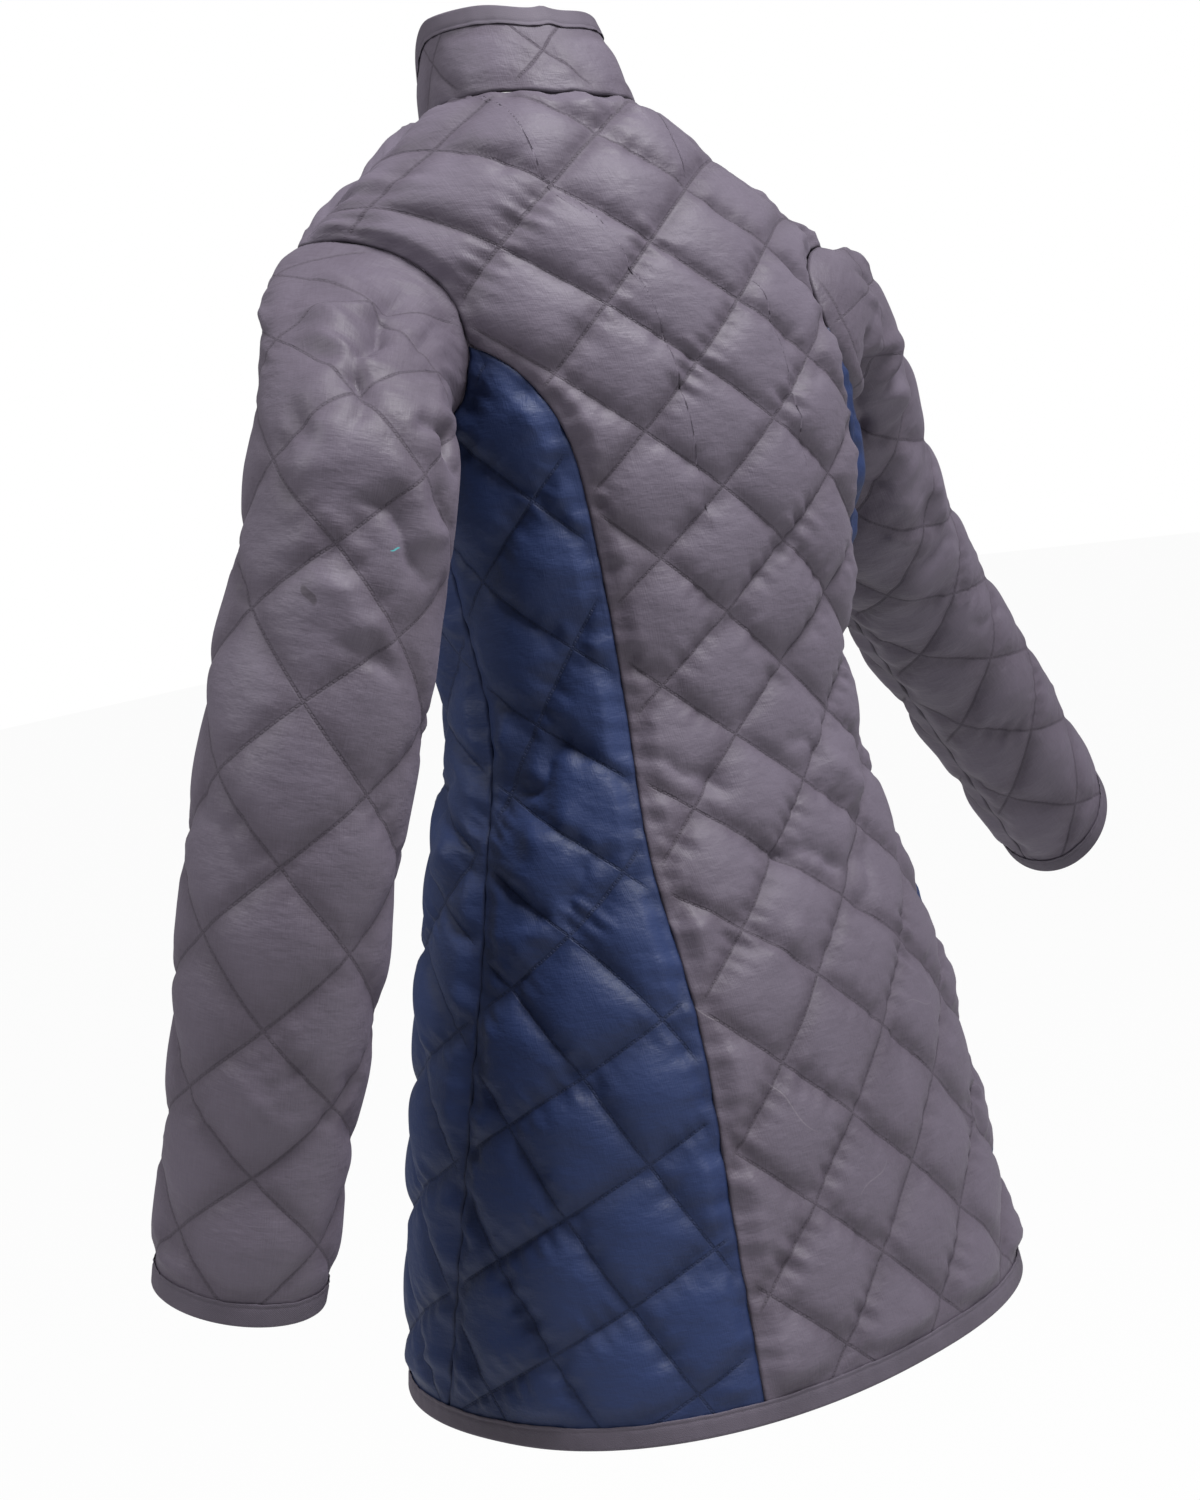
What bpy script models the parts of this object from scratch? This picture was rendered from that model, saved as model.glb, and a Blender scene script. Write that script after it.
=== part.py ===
# Quilted arming coat: grey body and sleeves, navy side panels, a stand collar and taped edges.
# Lengths are in metres. The front faces -Y and the wearer's left is +X.
# The origin is the middle of the neck, at the top of the shoulders.
import bpy
import numpy as np
from mathutils import Vector
from mathutils.geometry import delaunay_2d_cdt

for obj in list(bpy.data.objects):
    bpy.data.objects.remove(obj, do_unlink=True)

WALL = 0.003            # padded cloth between its seams
PUFF = 0.0065           # how far the quilting rises over the wall
SOFT = 0.018            # the puff fades to nothing over this distance from a seam
SEAM_GAP = 0.0005       # clear space between two sewn pieces
TAPE_WIDE = 0.012       # each leg of the folded tape on an edge
TAPE_THICK = 0.001
TAPE_CLEAR = 0.0005
BAND = 0.014            # flat strip under the tape
BAND_END = 0.0006       # the strip line stops this far from a seam
QUILT = 0.0625          # distance between parallel quilting lines
CELL_SPLIT = 3          # mesh points along one side of a quilted square
STATION = 0.032         # greatest distance between mesh points along a seam
STATION_HOLE = 0.020    # the same round an armhole
INNER_ROW = 0.06        # mesh rows on the plain inner side

LEAST_RISE = -0.0008    # a trough takes at most this much off the wall

# Finishes: colour, roughness
FINISHES = {
    "grey sateen": ((0.12, 0.107, 0.147), 0.62),
    "navy sateen": ((0.022, 0.038, 0.105), 0.62),
    "grey tape": ((0.10, 0.09, 0.12), 0.70),
}

# The body in level sections: height, half width, depth in front, depth behind, middle from front to back
SECTIONS = np.array([
    (-0.831, 0.211, 0.205, 0.167, 0.005),
    (-0.711, 0.197, 0.171, 0.155, 0.005),
    (-0.591, 0.180, 0.135, 0.145, 0.004),
    (-0.492, 0.155, 0.110, 0.124, 0.002),
    (-0.407, 0.133, 0.099, 0.110, 0.000),
    (-0.322, 0.139, 0.110, 0.114, -0.002),
    (-0.228, 0.148, 0.118, 0.120, -0.003),
    (-0.127, 0.148, 0.118, 0.120, -0.003),
])
SQUARENESS = 2.25
Z_HEM = SECTIONS[0, 0]
Z_UNDERARM = -0.228
T_UNDERARM = Z_UNDERARM - Z_HEM

# The ridge of the shoulders: distance from the middle, height
SHOULDERS = np.array([
    (0.000, 0.007), (0.042, -0.006), (0.068, -0.026), (0.117, -0.064),
    (0.159, -0.096), (0.201, -0.127), (0.244, -0.156),
])
RIDGE_Y = 0.002
WIDEN_BACK, WIDEN_FRONT = 0.30, 0.50      # the shoulders stand out from the chest by this share
ROUND_BACK, ROUND_FRONT = 0.92, 1.05
RISE_BACK, RISE_FRONT = 0.92, 0.82
NECK_HALF, NECK_BACK, NECK_FRONT = 0.064, 0.059, 0.115

# The wearer's stance: the chest is turned, shifted and tipped against the skirt
TURN = 20.0             # degrees
SHIFT = 0.028
TIP = 0.06
SHOULDER_TIP = 0.09
# Each change comes in between two heights
TURN_BETWEEN = (-0.55, -0.21)
SHIFT_BETWEEN = (-0.53, -0.25)
RETURN_BETWEEN = (-0.24, -0.03)
RETURN_SHARE = 0.9      # of the shift, taken back at the neck
TIP_BETWEEN = (-0.48, -0.16)
SHOULDER_TIP_BETWEEN = (-0.25, -0.05)

# Seams as shares of the half girth from the centre back: height, back princess, side, front princess
SEAMS = np.array([
    (-0.831, 0.203, 0.570, 0.790),
    (-0.711, 0.209, 0.537, 0.785),
    (-0.591, 0.219, 0.508, 0.780),
    (-0.492, 0.238, 0.488, 0.775),
    (-0.407, 0.230, 0.473, 0.770),
    (-0.322, 0.214, 0.470, 0.765),
    (-0.228, 0.205, 0.470, 0.765),
    (-0.127, 0.205, 0.470, 0.765),
])
BACK_SEAM, SIDE_SEAM, FRONT_SEAM = 1, 2, 3
SEAM_BEND = 0.97        # how sharply the princess seams turn into the armhole, below 1
RIGHT_FARTHER = 0.046   # the coat sits turned: its right back seam lies farther round than the left
SEAM_TURN = -0.262      # the princess seams leave the straight here and bend to the armhole
SEAM_MEETS = 0.052      # and meet it this far above the underarm
ARM_REACH_BACK, ARM_REACH_FRONT = 0.074, 0.080
ARM_LOW = 0.078         # height of the round lower part of the armhole
TIP_X = 0.182           # outer end of the shoulder seam

# Sleeves, mirrored for the right: middle x, y, z, radius outwards, radius front to back
SLEEVE_LEFT = np.array([
    (0.237, 0.050, -0.226, 0.053, 0.061),
    (0.253, 0.044, -0.281, 0.055, 0.061),
    (0.286, 0.027, -0.377, 0.056, 0.061),
    (0.314, 0.002, -0.497, 0.053, 0.058),
    (0.333, -0.033, -0.620, 0.048, 0.052),
    (0.346, -0.053, -0.693, 0.046, 0.051),
])
SLEEVE_RIGHT = np.array([
    (0.225, 0.013, -0.207, 0.055, 0.060),
    (0.300, -0.030, -0.304, 0.054, 0.059),
    (0.375, -0.061, -0.375, 0.051, 0.058),
    (0.464, -0.080, -0.473, 0.048, 0.055),
    (0.563, -0.093, -0.600, 0.046, 0.053),
])
CUFF_TURN = {"L": 2.0, "R": -27.0}
OUTWARD = {"L": (1.0, 0.0, 0.35), "R": (1.0, 0.3, 0.6)}
CAP_OUT_TOP, CAP_OUT_LOW = 0.115, 0.075

COLLAR_HIGH = 0.061
COLLAR_FRONT_LOWER = 0.22   # share by which the front ends are lower
COLLAR_LEAN = 0.16      # share by which the top is narrower than the base
COLLAR_BACK_TILT = -0.22
COLLAR_PUFF = 0.0025
COLLAR_ROWS = 7

# The main folds, a trough where the height is below 0:
# piece, s and t of the start, s and t of the end, half width, height
FOLDS = [
    ("sleeve_L", 0.036, 0.652, 0.031, 0.545, 0.011, 0.0085),
    ("sleeve_L", 0.055, 0.645, 0.045, 0.535, 0.009, -0.0070),
    ("sleeve_L", 0.030, 0.540, 0.028, 0.430, 0.015, 0.0050),
    ("sleeve_L", 0.088, 0.520, 0.124, 0.494, 0.009, -0.0100),
    ("sleeve_L", 0.085, 0.545, 0.122, 0.520, 0.010, 0.0060),
    ("sleeve_L", 0.064, 0.492, 0.110, 0.452, 0.010, 0.0055),
    ("sleeve_L", 0.056, 0.468, 0.100, 0.432, 0.009, -0.0055),
    ("sleeve_L", -0.060, 0.385, -0.120, 0.350, 0.011, -0.0060),
    ("sleeve_L", -0.050, 0.350, -0.115, 0.320, 0.011, 0.0050),
    ("sleeve_R", 0.090, 0.625, 0.118, 0.545, 0.010, -0.0090),
    ("sleeve_R", 0.118, 0.550, 0.104, 0.492, 0.009, -0.0070),
    ("sleeve_R", 0.074, 0.610, 0.090, 0.500, 0.013, 0.0070),
    ("sleeve_R", 0.086, 0.500, 0.116, 0.330, 0.012, 0.0040),
    ("sleeve_R", -0.055, 0.360, -0.115, 0.330, 0.011, -0.0060),
    ("sleeve_R", -0.050, 0.325, -0.110, 0.300, 0.011, 0.0050),
    ("back", 0.086, 0.400, 0.030, 0.372, 0.010, -0.0050),
    ("back", 0.050, 0.338, -0.060, 0.300, 0.011, -0.0050),
    ("back", -0.040, 0.400, -0.075, 0.335, 0.011, 0.0045),
    ("side_back_L", 0.115, 0.425, 0.190, 0.372, 0.011, -0.0060),
    ("side_back_L", 0.125, 0.385, 0.195, 0.335, 0.011, 0.0050),
    ("side_back_R", -0.135, 0.420, -0.190, 0.380, 0.011, -0.0050),
    ("side_front_L", 0.215, 0.400, 0.270, 0.380, 0.011, -0.0050),
    ("side_front_R", -0.215, 0.405, -0.270, 0.378, 0.011, -0.0050),
    ("front_L", 0.330, 0.405, 0.385, 0.370, 0.011, -0.0045),
    ("front_R", -0.330, 0.395, -0.385, 0.365, 0.011, -0.0045),
]


def through(xs, ys, x):
    # Smooth curve through the listed values, flat beyond both ends
    order = np.argsort(xs)
    xs, ys = xs[order], ys[order]
    slope = np.gradient(ys, xs)
    x = np.clip(x, xs[0], xs[-1])
    i = np.clip(np.searchsorted(xs, x, side="right") - 1, 0, len(xs) - 2)
    h = xs[i + 1] - xs[i]
    u = (x - xs[i]) / h
    start = (2 * u**3 - 3 * u**2 + 1) * ys[i] + (u**3 - 2 * u**2 + u) * h * slope[i]
    return start + (-2 * u**3 + 3 * u**2) * ys[i + 1] + (u**3 - u**2) * h * slope[i + 1]


def smooth(x, a, b):
    # 0 at a, 1 at b, level at both
    u = np.clip((x - a) / (b - a), 0, 1)
    return u * u * (3 - 2 * u)


def unit(v):
    # The same directions, one long
    return v / np.maximum(np.linalg.norm(v, axis=-1, keepdims=True), 1e-12)


def arc(points):
    # Running length along the last but one axis
    step = np.linalg.norm(np.diff(points, axis=-2), axis=-1)
    return np.concatenate([np.zeros(step.shape[:-1] + (1,)), np.cumsum(step, -1)], -1)


def row_interp(x, xp, fp):
    # One linear look-up per row, the columns of xp rising
    i = np.clip((xp < x[:, None]).sum(1), 1, xp.shape[1] - 1)
    r = np.arange(len(x))
    f = np.clip((x - xp[r, i - 1]) / np.maximum(xp[r, i] - xp[r, i - 1], 1e-12), 0, 1)
    if fp.ndim == 1:
        return fp[i - 1] * (1 - f) + fp[i] * f
    return fp[r, i - 1] * (1 - f) + fp[r, i] * f


# The body's surface. Along the cloth, s runs round from the centre back to the wearer's left, and t runs up
# from the hem.

ANGLES = np.linspace(0, np.pi, 241)
RISES = np.linspace(0, np.pi / 2, 97)


def ring(angle, z):
    # A level section: a superellipse, deeper or shallower in front than behind
    half, front, back, middle = (through(SECTIONS[:, 0], SECTIONS[:, c], z) for c in (1, 2, 3, 4))
    power = 2 / SQUARENESS
    sine, cosine = np.sin(angle), np.cos(angle)
    x = half * np.abs(sine) ** power
    y = middle + np.where(cosine > 0, back, front) * np.sign(cosine) * np.abs(cosine) ** power
    return x, y


def column(angle, rise):
    # From the underarm level up to the ridge of the shoulder
    x0, y0 = ring(angle, np.full_like(angle, Z_UNDERARM))
    behind = np.cos(angle) > 0
    half = SECTIONS[6, 1]
    x = x0 * (1 + np.where(behind, WIDEN_BACK, WIDEN_FRONT) * (x0 / half) ** 2 * np.sin(rise) ** 2)
    y = RIDGE_Y + (y0 - RIDGE_Y) * np.maximum(np.cos(rise), 0) ** np.where(behind, ROUND_BACK, ROUND_FRONT)
    top = through(SHOULDERS[:, 0], SHOULDERS[:, 1], x)
    z = Z_UNDERARM + (top - Z_UNDERARM) * np.sin(rise) ** np.where(behind, RISE_BACK, RISE_FRONT)
    return x, y, z


def all_angles(z):
    # Every angle of a ring at every height
    return np.broadcast_to(ANGLES, (len(z), len(ANGLES))), np.broadcast_to(z[:, None], (len(z), len(ANGLES)))


def angle_at(s, z):
    # Angle of the ring at z where the length round it is s
    return row_interp(s, arc(np.stack(ring(*all_angles(z)), -1)), ANGLES)


def half_girth(z):
    # Length of half the ring, from the centre back to the centre front
    return arc(np.stack(ring(*all_angles(np.atleast_1d(z))), -1))[:, -1]


def columns_at(s):
    # The columns that rise from s at the underarm: their angles, points and lengths up from the hem
    angle = angle_at(s, np.full(len(s), Z_UNDERARM))
    angles = np.broadcast_to(angle[:, None], (len(s), len(RISES)))
    points = np.stack(column(angles, np.broadcast_to(RISES, angles.shape)), -1)
    return angle, points, arc(points) + T_UNDERARM


def body(s, t):
    # The left half before the stance
    out = np.zeros((len(s), 3))
    low = t <= T_UNDERARM
    if low.any():
        z = Z_HEM + t[low]
        x, y = ring(angle_at(s[low], z), z)
        out[low] = np.stack([x, y, z], -1)
    if not low.all():
        angle, points, length = columns_at(s[~low])
        out[~low] = np.stack(column(angle, row_interp(t[~low], length, RISES)), -1)
    return out


def column_top(s):
    # t where the column reaches the ridge of the shoulder or the neckline
    angle, points, length = columns_at(s)
    depth = np.where(np.cos(angle) > 0, NECK_BACK, NECK_FRONT)[:, None]
    inside = (points[..., 0] / NECK_HALF) ** 2 + ((points[..., 1] - RIDGE_Y) / depth) ** 2 - 1
    hit = (inside < 0).any(1)
    k = np.where(hit, (inside < 0).argmax(1), len(RISES) - 1)
    r = np.arange(len(s))
    before, after = inside[r, k - 1], inside[r, k]
    share = np.where(hit, before / np.where(np.abs(before - after) < 1e-9, 1, before - after), 1)
    return length[r, k - 1] + (length[r, k] - length[r, k - 1]) * np.clip(share, 0, 1)


def stance(p):
    # The chest turns, shifts and tips against the skirt
    x, y, z = p[..., 0], p[..., 1], p[..., 2]
    turn = -np.radians(TURN) * smooth(z, *TURN_BETWEEN)
    shift = SHIFT * smooth(z, *SHIFT_BETWEEN) * (1 - RETURN_SHARE * smooth(z, *RETURN_BETWEEN))
    aside = np.sqrt(0.5) * shift
    tip = TIP * smooth(z, *TIP_BETWEEN) + SHOULDER_TIP * smooth(z, *SHOULDER_TIP_BETWEEN)
    return np.stack([
        x * np.cos(turn) - y * np.sin(turn) - aside,
        x * np.sin(turn) + y * np.cos(turn) + aside,
        z + x * tip,
    ], -1)


def unstance(p):
    # The reverse of stance, by correcting a first guess
    q = p.copy()
    for _ in range(6):
        q = q + p - stance(q)
    return q


def body_at(st):
    # s is negative on the wearer's right, where the body is the left half mirrored
    p = body(np.abs(st[:, 0]), st[:, 1])
    p[:, 0] *= np.where(st[:, 0] < 0, -1.0, 1.0)
    return stance(p)


def seam_s(which, t):
    # s of a seam of the table at the height t
    z = Z_HEM + np.minimum(t, T_UNDERARM)
    return through(SEAMS[:, 0], SEAMS[:, which], z) * half_girth(z)


def ridge_s(x, front):
    # s of the column that ends at x on the ridge of the shoulder
    angle = np.linspace(0, np.pi / 2, 400)
    across = ring(angle, np.full(400, Z_UNDERARM))[0]
    widen = WIDEN_FRONT if front else WIDEN_BACK
    found = np.interp(x, across * (1 + widen * (across / SECTIONS[6, 1]) ** 2), angle)
    around = arc(np.stack(ring(ANGLES, np.full(len(ANGLES), Z_UNDERARM)), -1))
    return np.interp(np.pi - found if front else found, ANGLES, around)


UNDERARM_S = seam_s(SIDE_SEAM, np.array([T_UNDERARM]))[0]
GIRTH_TOP = half_girth(Z_UNDERARM)[0]


def armhole(front, count):
    # From the underarm: a round lower part, then up to the end of the shoulder seam
    reach = ARM_REACH_FRONT if front else -ARM_REACH_BACK
    tip_s = ridge_s(TIP_X, front)
    tip_t = column_top(np.array([tip_s]))[0]
    a = np.linspace(0, np.pi / 2, count // 2)
    v = np.linspace(0, 1, count // 2 + 1)[1:]
    wide = UNDERARM_S + reach
    low = np.stack([UNDERARM_S + reach * np.sin(a), T_UNDERARM + ARM_LOW * (1 - np.cos(a))], -1)
    start = T_UNDERARM + ARM_LOW
    high = np.stack([wide + (tip_s - wide) * v**2, start + (tip_t - start) * v], -1)
    return np.concatenate([low, high])


def princess(front, count, farther=0.0):
    # Up from the hem, bending to the armhole. Below the bend it lies farther round by the given length.
    meet_t = T_UNDERARM + SEAM_MEETS
    hole = armhole(front, 400)
    meet_s = np.interp(meet_t, hole[:, 1], hole[:, 0])
    which = FRONT_SEAM if front else BACK_SEAM
    turn_t = SEAM_TURN - Z_HEM
    t = np.linspace(0, meet_t, count)
    low_s = seam_s(which, np.minimum(t, turn_t)) + farther
    u = SEAM_BEND * np.clip((t - turn_t) / (meet_t - turn_t), 0, 1)
    bend = (1 - np.sqrt(1 - u**2)) / (1 - np.sqrt(1 - SEAM_BEND**2))
    return np.stack([low_s + (meet_s - low_s) * bend, t], -1)


def stationed(line, spacing=STATION):
    # The same line with evenly spaced points, few enough to keep the mesh light
    length = arc(line)
    count = max(2, int(np.ceil(length[-1] / spacing)) + 1)
    want = np.linspace(0, length[-1], count)
    return np.stack([np.interp(want, length, line[:, c]) for c in (0, 1)], -1)


def split_at(line, point):
    # The two parts of the line on both sides of its point nearest to the given one
    k = int(((line - point) ** 2).sum(1).argmin())
    first, second = line[:k + 1].copy(), line[k:].copy()
    first[-1] = second[0] = point
    return first, second


# Quilting. Lines lie both ways across the grain. Above the hips the cloth is gathered a little, so it takes
# up less height there than its own length.

GATHER = np.array([(0.0, 0.0), (0.254, 0.254), (0.85, 0.941)])
QUILT_START = 0.0735
DRIFT = 0.022
DRIFT_BETWEEN = (0.40, 0.58)
SIDE_LEAN = 20.0        # degrees
LEAN_BETWEEN = (0.22, 0.52)
SIDE_START = (0.163, 0.165)
SLEEVE_START = 0.045


def diagonals(s, t):
    # Numbers of the place in the lattice, whole on its lines
    return np.stack([t + s, t - s], -1) / (np.sqrt(2) * QUILT)


def lattice_back(st):
    t = np.interp(st[:, 1], GATHER[:, 0], GATHER[:, 1]) - QUILT_START
    return diagonals(st[:, 0] - DRIFT * (1 - smooth(st[:, 1], *DRIFT_BETWEEN)), t)


def lattice_side(st):
    # The side panels' grain leans with their flare
    lean = np.radians(SIDE_LEAN) * (1 - smooth(st[:, 1], *LEAN_BETWEEN))
    s, t = np.abs(st[:, 0]) - SIDE_START[0], st[:, 1] - SIDE_START[1]
    return diagonals(s * np.cos(lean) + t * np.sin(lean), t * np.cos(lean) - s * np.sin(lean))


def lattice_front(st):
    t = np.interp(st[:, 1], GATHER[:, 0], GATHER[:, 1]) - QUILT_START
    return diagonals(np.abs(st[:, 0]) - GIRTH_TOP, t)


def lattice_sleeve(st):
    return diagonals(st[:, 0], st[:, 1] - SLEEVE_START)


def lattice_collar(st):
    return diagonals(st[:, 0], st[:, 1] - 0.5 * COLLAR_HIGH)


def unlattice(lattice, ab, guess):
    # Newton steps back from lattice numbers to a place on the cloth
    st = guess.copy()
    h = 1e-4
    for _ in range(12):
        off = lattice(st) - ab
        ds = (lattice(st + [h, 0]) - lattice(st)) / h
        dt = (lattice(st + [0, h]) - lattice(st)) / h
        det = ds[:, 0] * dt[:, 1] - ds[:, 1] * dt[:, 0]
        det = np.where(np.abs(det) < 1e-6, 1.0, det)
        step_s = (off[:, 0] * dt[:, 1] - off[:, 1] * dt[:, 0]) / det
        step_t = (off[:, 1] * ds[:, 0] - off[:, 0] * ds[:, 1]) / det
        st -= np.clip(np.stack([step_s, step_t], -1), -0.1, 0.1)
    return st


def pillow(ab):
    # 0 on the quilting lines, 1 in the middle of each square
    return (np.abs(np.sin(np.pi * ab[:, 0])) * np.abs(np.sin(np.pi * ab[:, 1]))) ** 0.6


def fold_rise(name, st):
    # Folds of one piece: across a fold a bell curve, along it fading to both ends
    rise = np.zeros(len(st))
    for piece, s0, t0, s1, t1, half_width, height in FOLDS:
        if piece != name:
            continue
        start, run = np.array([s0, t0]), np.array([s1 - s0, t1 - t0])
        share = np.clip((st - start) @ run / (run @ run), 0, 1)
        away = np.linalg.norm(st - start - share[:, None] * run, axis=1)
        rise += height * np.exp(-(away / half_width) ** 2) * np.sin(np.pi * np.clip(share, 0.1, 0.9)) ** 0.5
    return rise


def inside_polygon(points, polygon):
    # Counts how often a level line from each point crosses the outline
    x, y = points[:, 0][:, None], points[:, 1][:, None]
    x0, y0 = polygon[:, 0][None], polygon[:, 1][None]
    x1, y1 = np.roll(polygon[:, 0], -1)[None], np.roll(polygon[:, 1], -1)[None]
    crosses = (y0 > y) != (y1 > y)
    at = x0 + (y - y0) / np.where(y1 == y0, 1, y1 - y0) * (x1 - x0)
    return (crosses & (x < at)).sum(1) % 2 == 1


def distance_to(points, outline):
    # Least distance to the closed outline
    a = outline
    ab = np.roll(outline, -1, 0) - a
    share = ((points[:, None] - a[None]) * ab[None]).sum(-1) / np.maximum((ab**2).sum(-1), 1e-12)[None]
    near = a[None] + np.clip(share, 0, 1)[..., None] * ab[None]
    return np.linalg.norm(points[:, None] - near, axis=-1).min(1)


def inset(polygon, distance):
    # Each corner moved inwards so that every side lies that far inside
    before, after = np.roll(polygon, 1, 0), np.roll(polygon, -1, 0)
    d1, d2 = unit(polygon - before), unit(after - polygon)
    n1 = np.stack([-d1[:, 1], d1[:, 0]], -1)
    n2 = np.stack([-d2[:, 1], d2[:, 0]], -1)
    total = n1 + n2
    scale = np.minimum(2 / np.maximum((total**2).sum(-1), 0.5), 2.0)
    return polygon + total * (scale * distance)[:, None]


def counter_clockwise(polygon):
    x, y = polygon[:, 0], polygon[:, 1]
    area = (x * np.roll(y, -1) - y * np.roll(x, -1)).sum()
    return polygon if area > 0 else polygon[::-1]


def triangulated(points, edges):
    # Delaunay triangles over flat points, with the given lines kept as edges
    out = delaunay_2d_cdt([Vector(p) for p in points.tolist()], edges, [], 0, 1e-7)
    return np.array([tuple(v) for v in out[0]]), np.array([f for f in out[2] if len(f) == 3])


def outward(surface, st, turned):
    # The surface's normal, from small steps both ways. turned is -1 where s runs the other way round.
    h = 0.002
    st = np.stack([st[:, 0], np.maximum(st[:, 1], h)], -1)
    along = surface(st + [h, 0]) - surface(st - [h, 0])
    up = surface(st + [0, h]) - surface(st - [0, h])
    return unit(np.cross(up, along)) * turned


def material(name, finish):
    colour, roughness = FINISHES[finish]
    made = bpy.data.materials.new(f"{name} {finish}")
    made.use_nodes = True
    shader = made.node_tree.nodes["Principled BSDF"]
    shader.inputs["Base Color"].default_value = (*colour, 1.0)
    shader.inputs["Roughness"].default_value = roughness
    shader.inputs["Metallic"].default_value = 0.0
    return made


def add_mesh(name, points, faces, finish):
    # The faces are turned over where they would face inwards
    if volume(points, faces) < 0:
        faces = faces[:, ::-1]
    mesh = bpy.data.meshes.new(name)
    mesh.from_pydata(points.tolist(), [], faces.tolist())
    mesh.materials.append(material(name, finish))
    mesh.update()
    obj = bpy.data.objects.new(name, mesh)
    bpy.context.scene.collection.objects.link(obj)
    return obj


def volume(points, faces):
    # Above 0 where the faces point outwards
    a, b, c = (points[faces[:, k]] for k in range(3))
    return (a * np.cross(b, c)).sum() / 6


def lattice_points(lattice, outline, shares):
    # The places inside the outline where the lattice numbers are whole, plus each of the given shares
    low, high = outline.min(0) - 0.01, outline.max(0) + 0.01
    corners = np.stack(np.meshgrid(np.linspace(low[0], high[0], 9), np.linspace(low[1], high[1], 9)), -1)
    ab = lattice(corners.reshape(-1, 2))
    first, last = np.floor(ab.min(0)) - 1, np.ceil(ab.max(0)) + 1
    whole = np.stack(np.meshgrid(np.arange(first[0], last[0]), np.arange(first[1], last[1])), -1)
    wanted = (whole.reshape(-1, 2)[:, None] + np.asarray(shares)[None]).reshape(-1, 2)
    found = unlattice(lattice, wanted, np.broadcast_to(outline.mean(0), wanted.shape))
    good = (np.abs(lattice(found) - wanted).max(1) < 1e-4) & (found > low).all(1) & (found < high).all(1)
    found = found[good]
    return found[inside_polygon(found, outline)]


def plain_points(outline, column_width):
    # A plain grid for the inner side, every other row shifted by half a column
    low, high = outline.min(0), outline.max(0)
    columns = np.arange(low[0] + 0.3 * column_width, high[0], column_width)
    rows = np.arange(low[1] + 0.3 * INNER_ROW, high[1], INNER_ROW)
    grid = np.stack(np.meshgrid(columns, rows), -1)
    grid[1::2, :, 0] += 0.5 * column_width
    grid = grid.reshape(-1, 2)
    return grid[inside_polygon(grid, outline)]


def quilted_panel(name, polygon, surface, lattice, finish, bound, band, puff=PUFF, fade=None, turned=1.0,
                  column_width=STATION):
    # One padded piece: its flat outline, the surface that it lies on, and the quilting and folds raised on
    # its outer side. bound gives the distance from a taped edge, and band is a flat line that far inside.
    outline = inset(counter_clockwise(polygon), SEAM_GAP / 2)
    count = len(outline)
    edges = [(i, (i + 1) % count) for i in range(count)]
    thirds = np.arange(CELL_SPLIT) / CELL_SPLIT
    inner = lattice_points(lattice, outline, [(a, b) for a in thirds for b in thirds])
    plain = plain_points(outline, column_width)
    cell, least = QUILT / CELL_SPLIT, 0.4
    inner = inner[distance_to(inner, outline) > least * cell]
    plain = plain[distance_to(plain, outline) > least * column_width]
    inner = inner[bound(inner) > BAND + least * cell]
    plain = plain[bound(plain) > BAND + least * column_width]
    lines = edges + [(count + i, count + i + 1) for i in range(len(band) - 1)]
    flat, faces = triangulated(np.concatenate([outline, band, inner]), lines)
    faces = faces[inside_polygon(flat[faces].mean(1), outline)]
    rise = puff * pillow(lattice(flat))
    if fade is not None:
        rise *= fade(flat)
    rise = np.maximum(rise + fold_rise(name, flat), LEAST_RISE)
    rise *= smooth(distance_to(flat, outline), 0.0, SOFT) * smooth(bound(flat), BAND + 0.001, BAND + SOFT)
    outer = surface(flat) + outward(surface, flat, turned) * (WALL + rise)[:, None]
    flat_in, faces_in = triangulated(np.concatenate([outline, band, plain]), lines)
    faces_in = faces_in[inside_polygon(flat_in[faces_in].mean(1), outline)]
    total = len(outer)
    here = np.arange(count)
    ahead = (here + 1) % count
    side = np.concatenate([
        np.stack([here, total + ahead, ahead], -1),
        np.stack([here, total + here, total + ahead], -1),
    ])
    points = np.concatenate([outer, surface(flat_in)])
    return add_mesh(name, points, np.concatenate([faces, faces_in[:, ::-1] + total, side]), finish)


def folded_tape(name, edge, into, normal, closed):
    # A tape folded over a bound edge: rings of eight points, each by its length into the piece and out from
    # the piece's inner side
    near, far = -TAPE_CLEAR, -TAPE_CLEAR - TAPE_THICK
    high, top = WALL + TAPE_CLEAR, WALL + TAPE_CLEAR + TAPE_THICK
    profile = [(TAPE_WIDE, top), (far, top), (far, far), (TAPE_WIDE, far),
               (TAPE_WIDE, near), (near, near), (near, high), (TAPE_WIDE, high)]
    rings = np.stack([edge + into * a + normal * b for a, b in profile], 1)
    count, size = rings.shape[:2]
    faces = []
    for i in range(count if closed else count - 1):
        j = (i + 1) % count
        for k in range(size):
            m = (k + 1) % size
            a, b, c, d = i * size + k, i * size + m, j * size + m, j * size + k
            faces += [(a, b, c), (a, c, d)]
    if not closed:
        cap = [(0, 1, 6), (0, 6, 7), (1, 2, 5), (1, 5, 6), (2, 3, 4), (2, 4, 5)]
        last = (count - 1) * size
        faces += [(a, c, b) for a, b, c in cap]
        faces += [(a + last, b + last, c + last) for a, b, c in cap]
    return add_mesh(name, rings.reshape(-1, 3), np.array(faces), "grey tape")


# Outlines of the body's pieces, as for the left. The pieces on both sides of a seam share its points.

FRONT_CLEAR = TAPE_THICK + TAPE_CLEAR + 0.0006


def mirrored(line):
    return (line * [-1.0, 1.0])[::-1]


def front_edge(t):
    girth = half_girth(Z_HEM + np.minimum(t, T_UNDERARM))
    return np.stack([girth - FRONT_CLEAR, t], -1)


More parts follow.
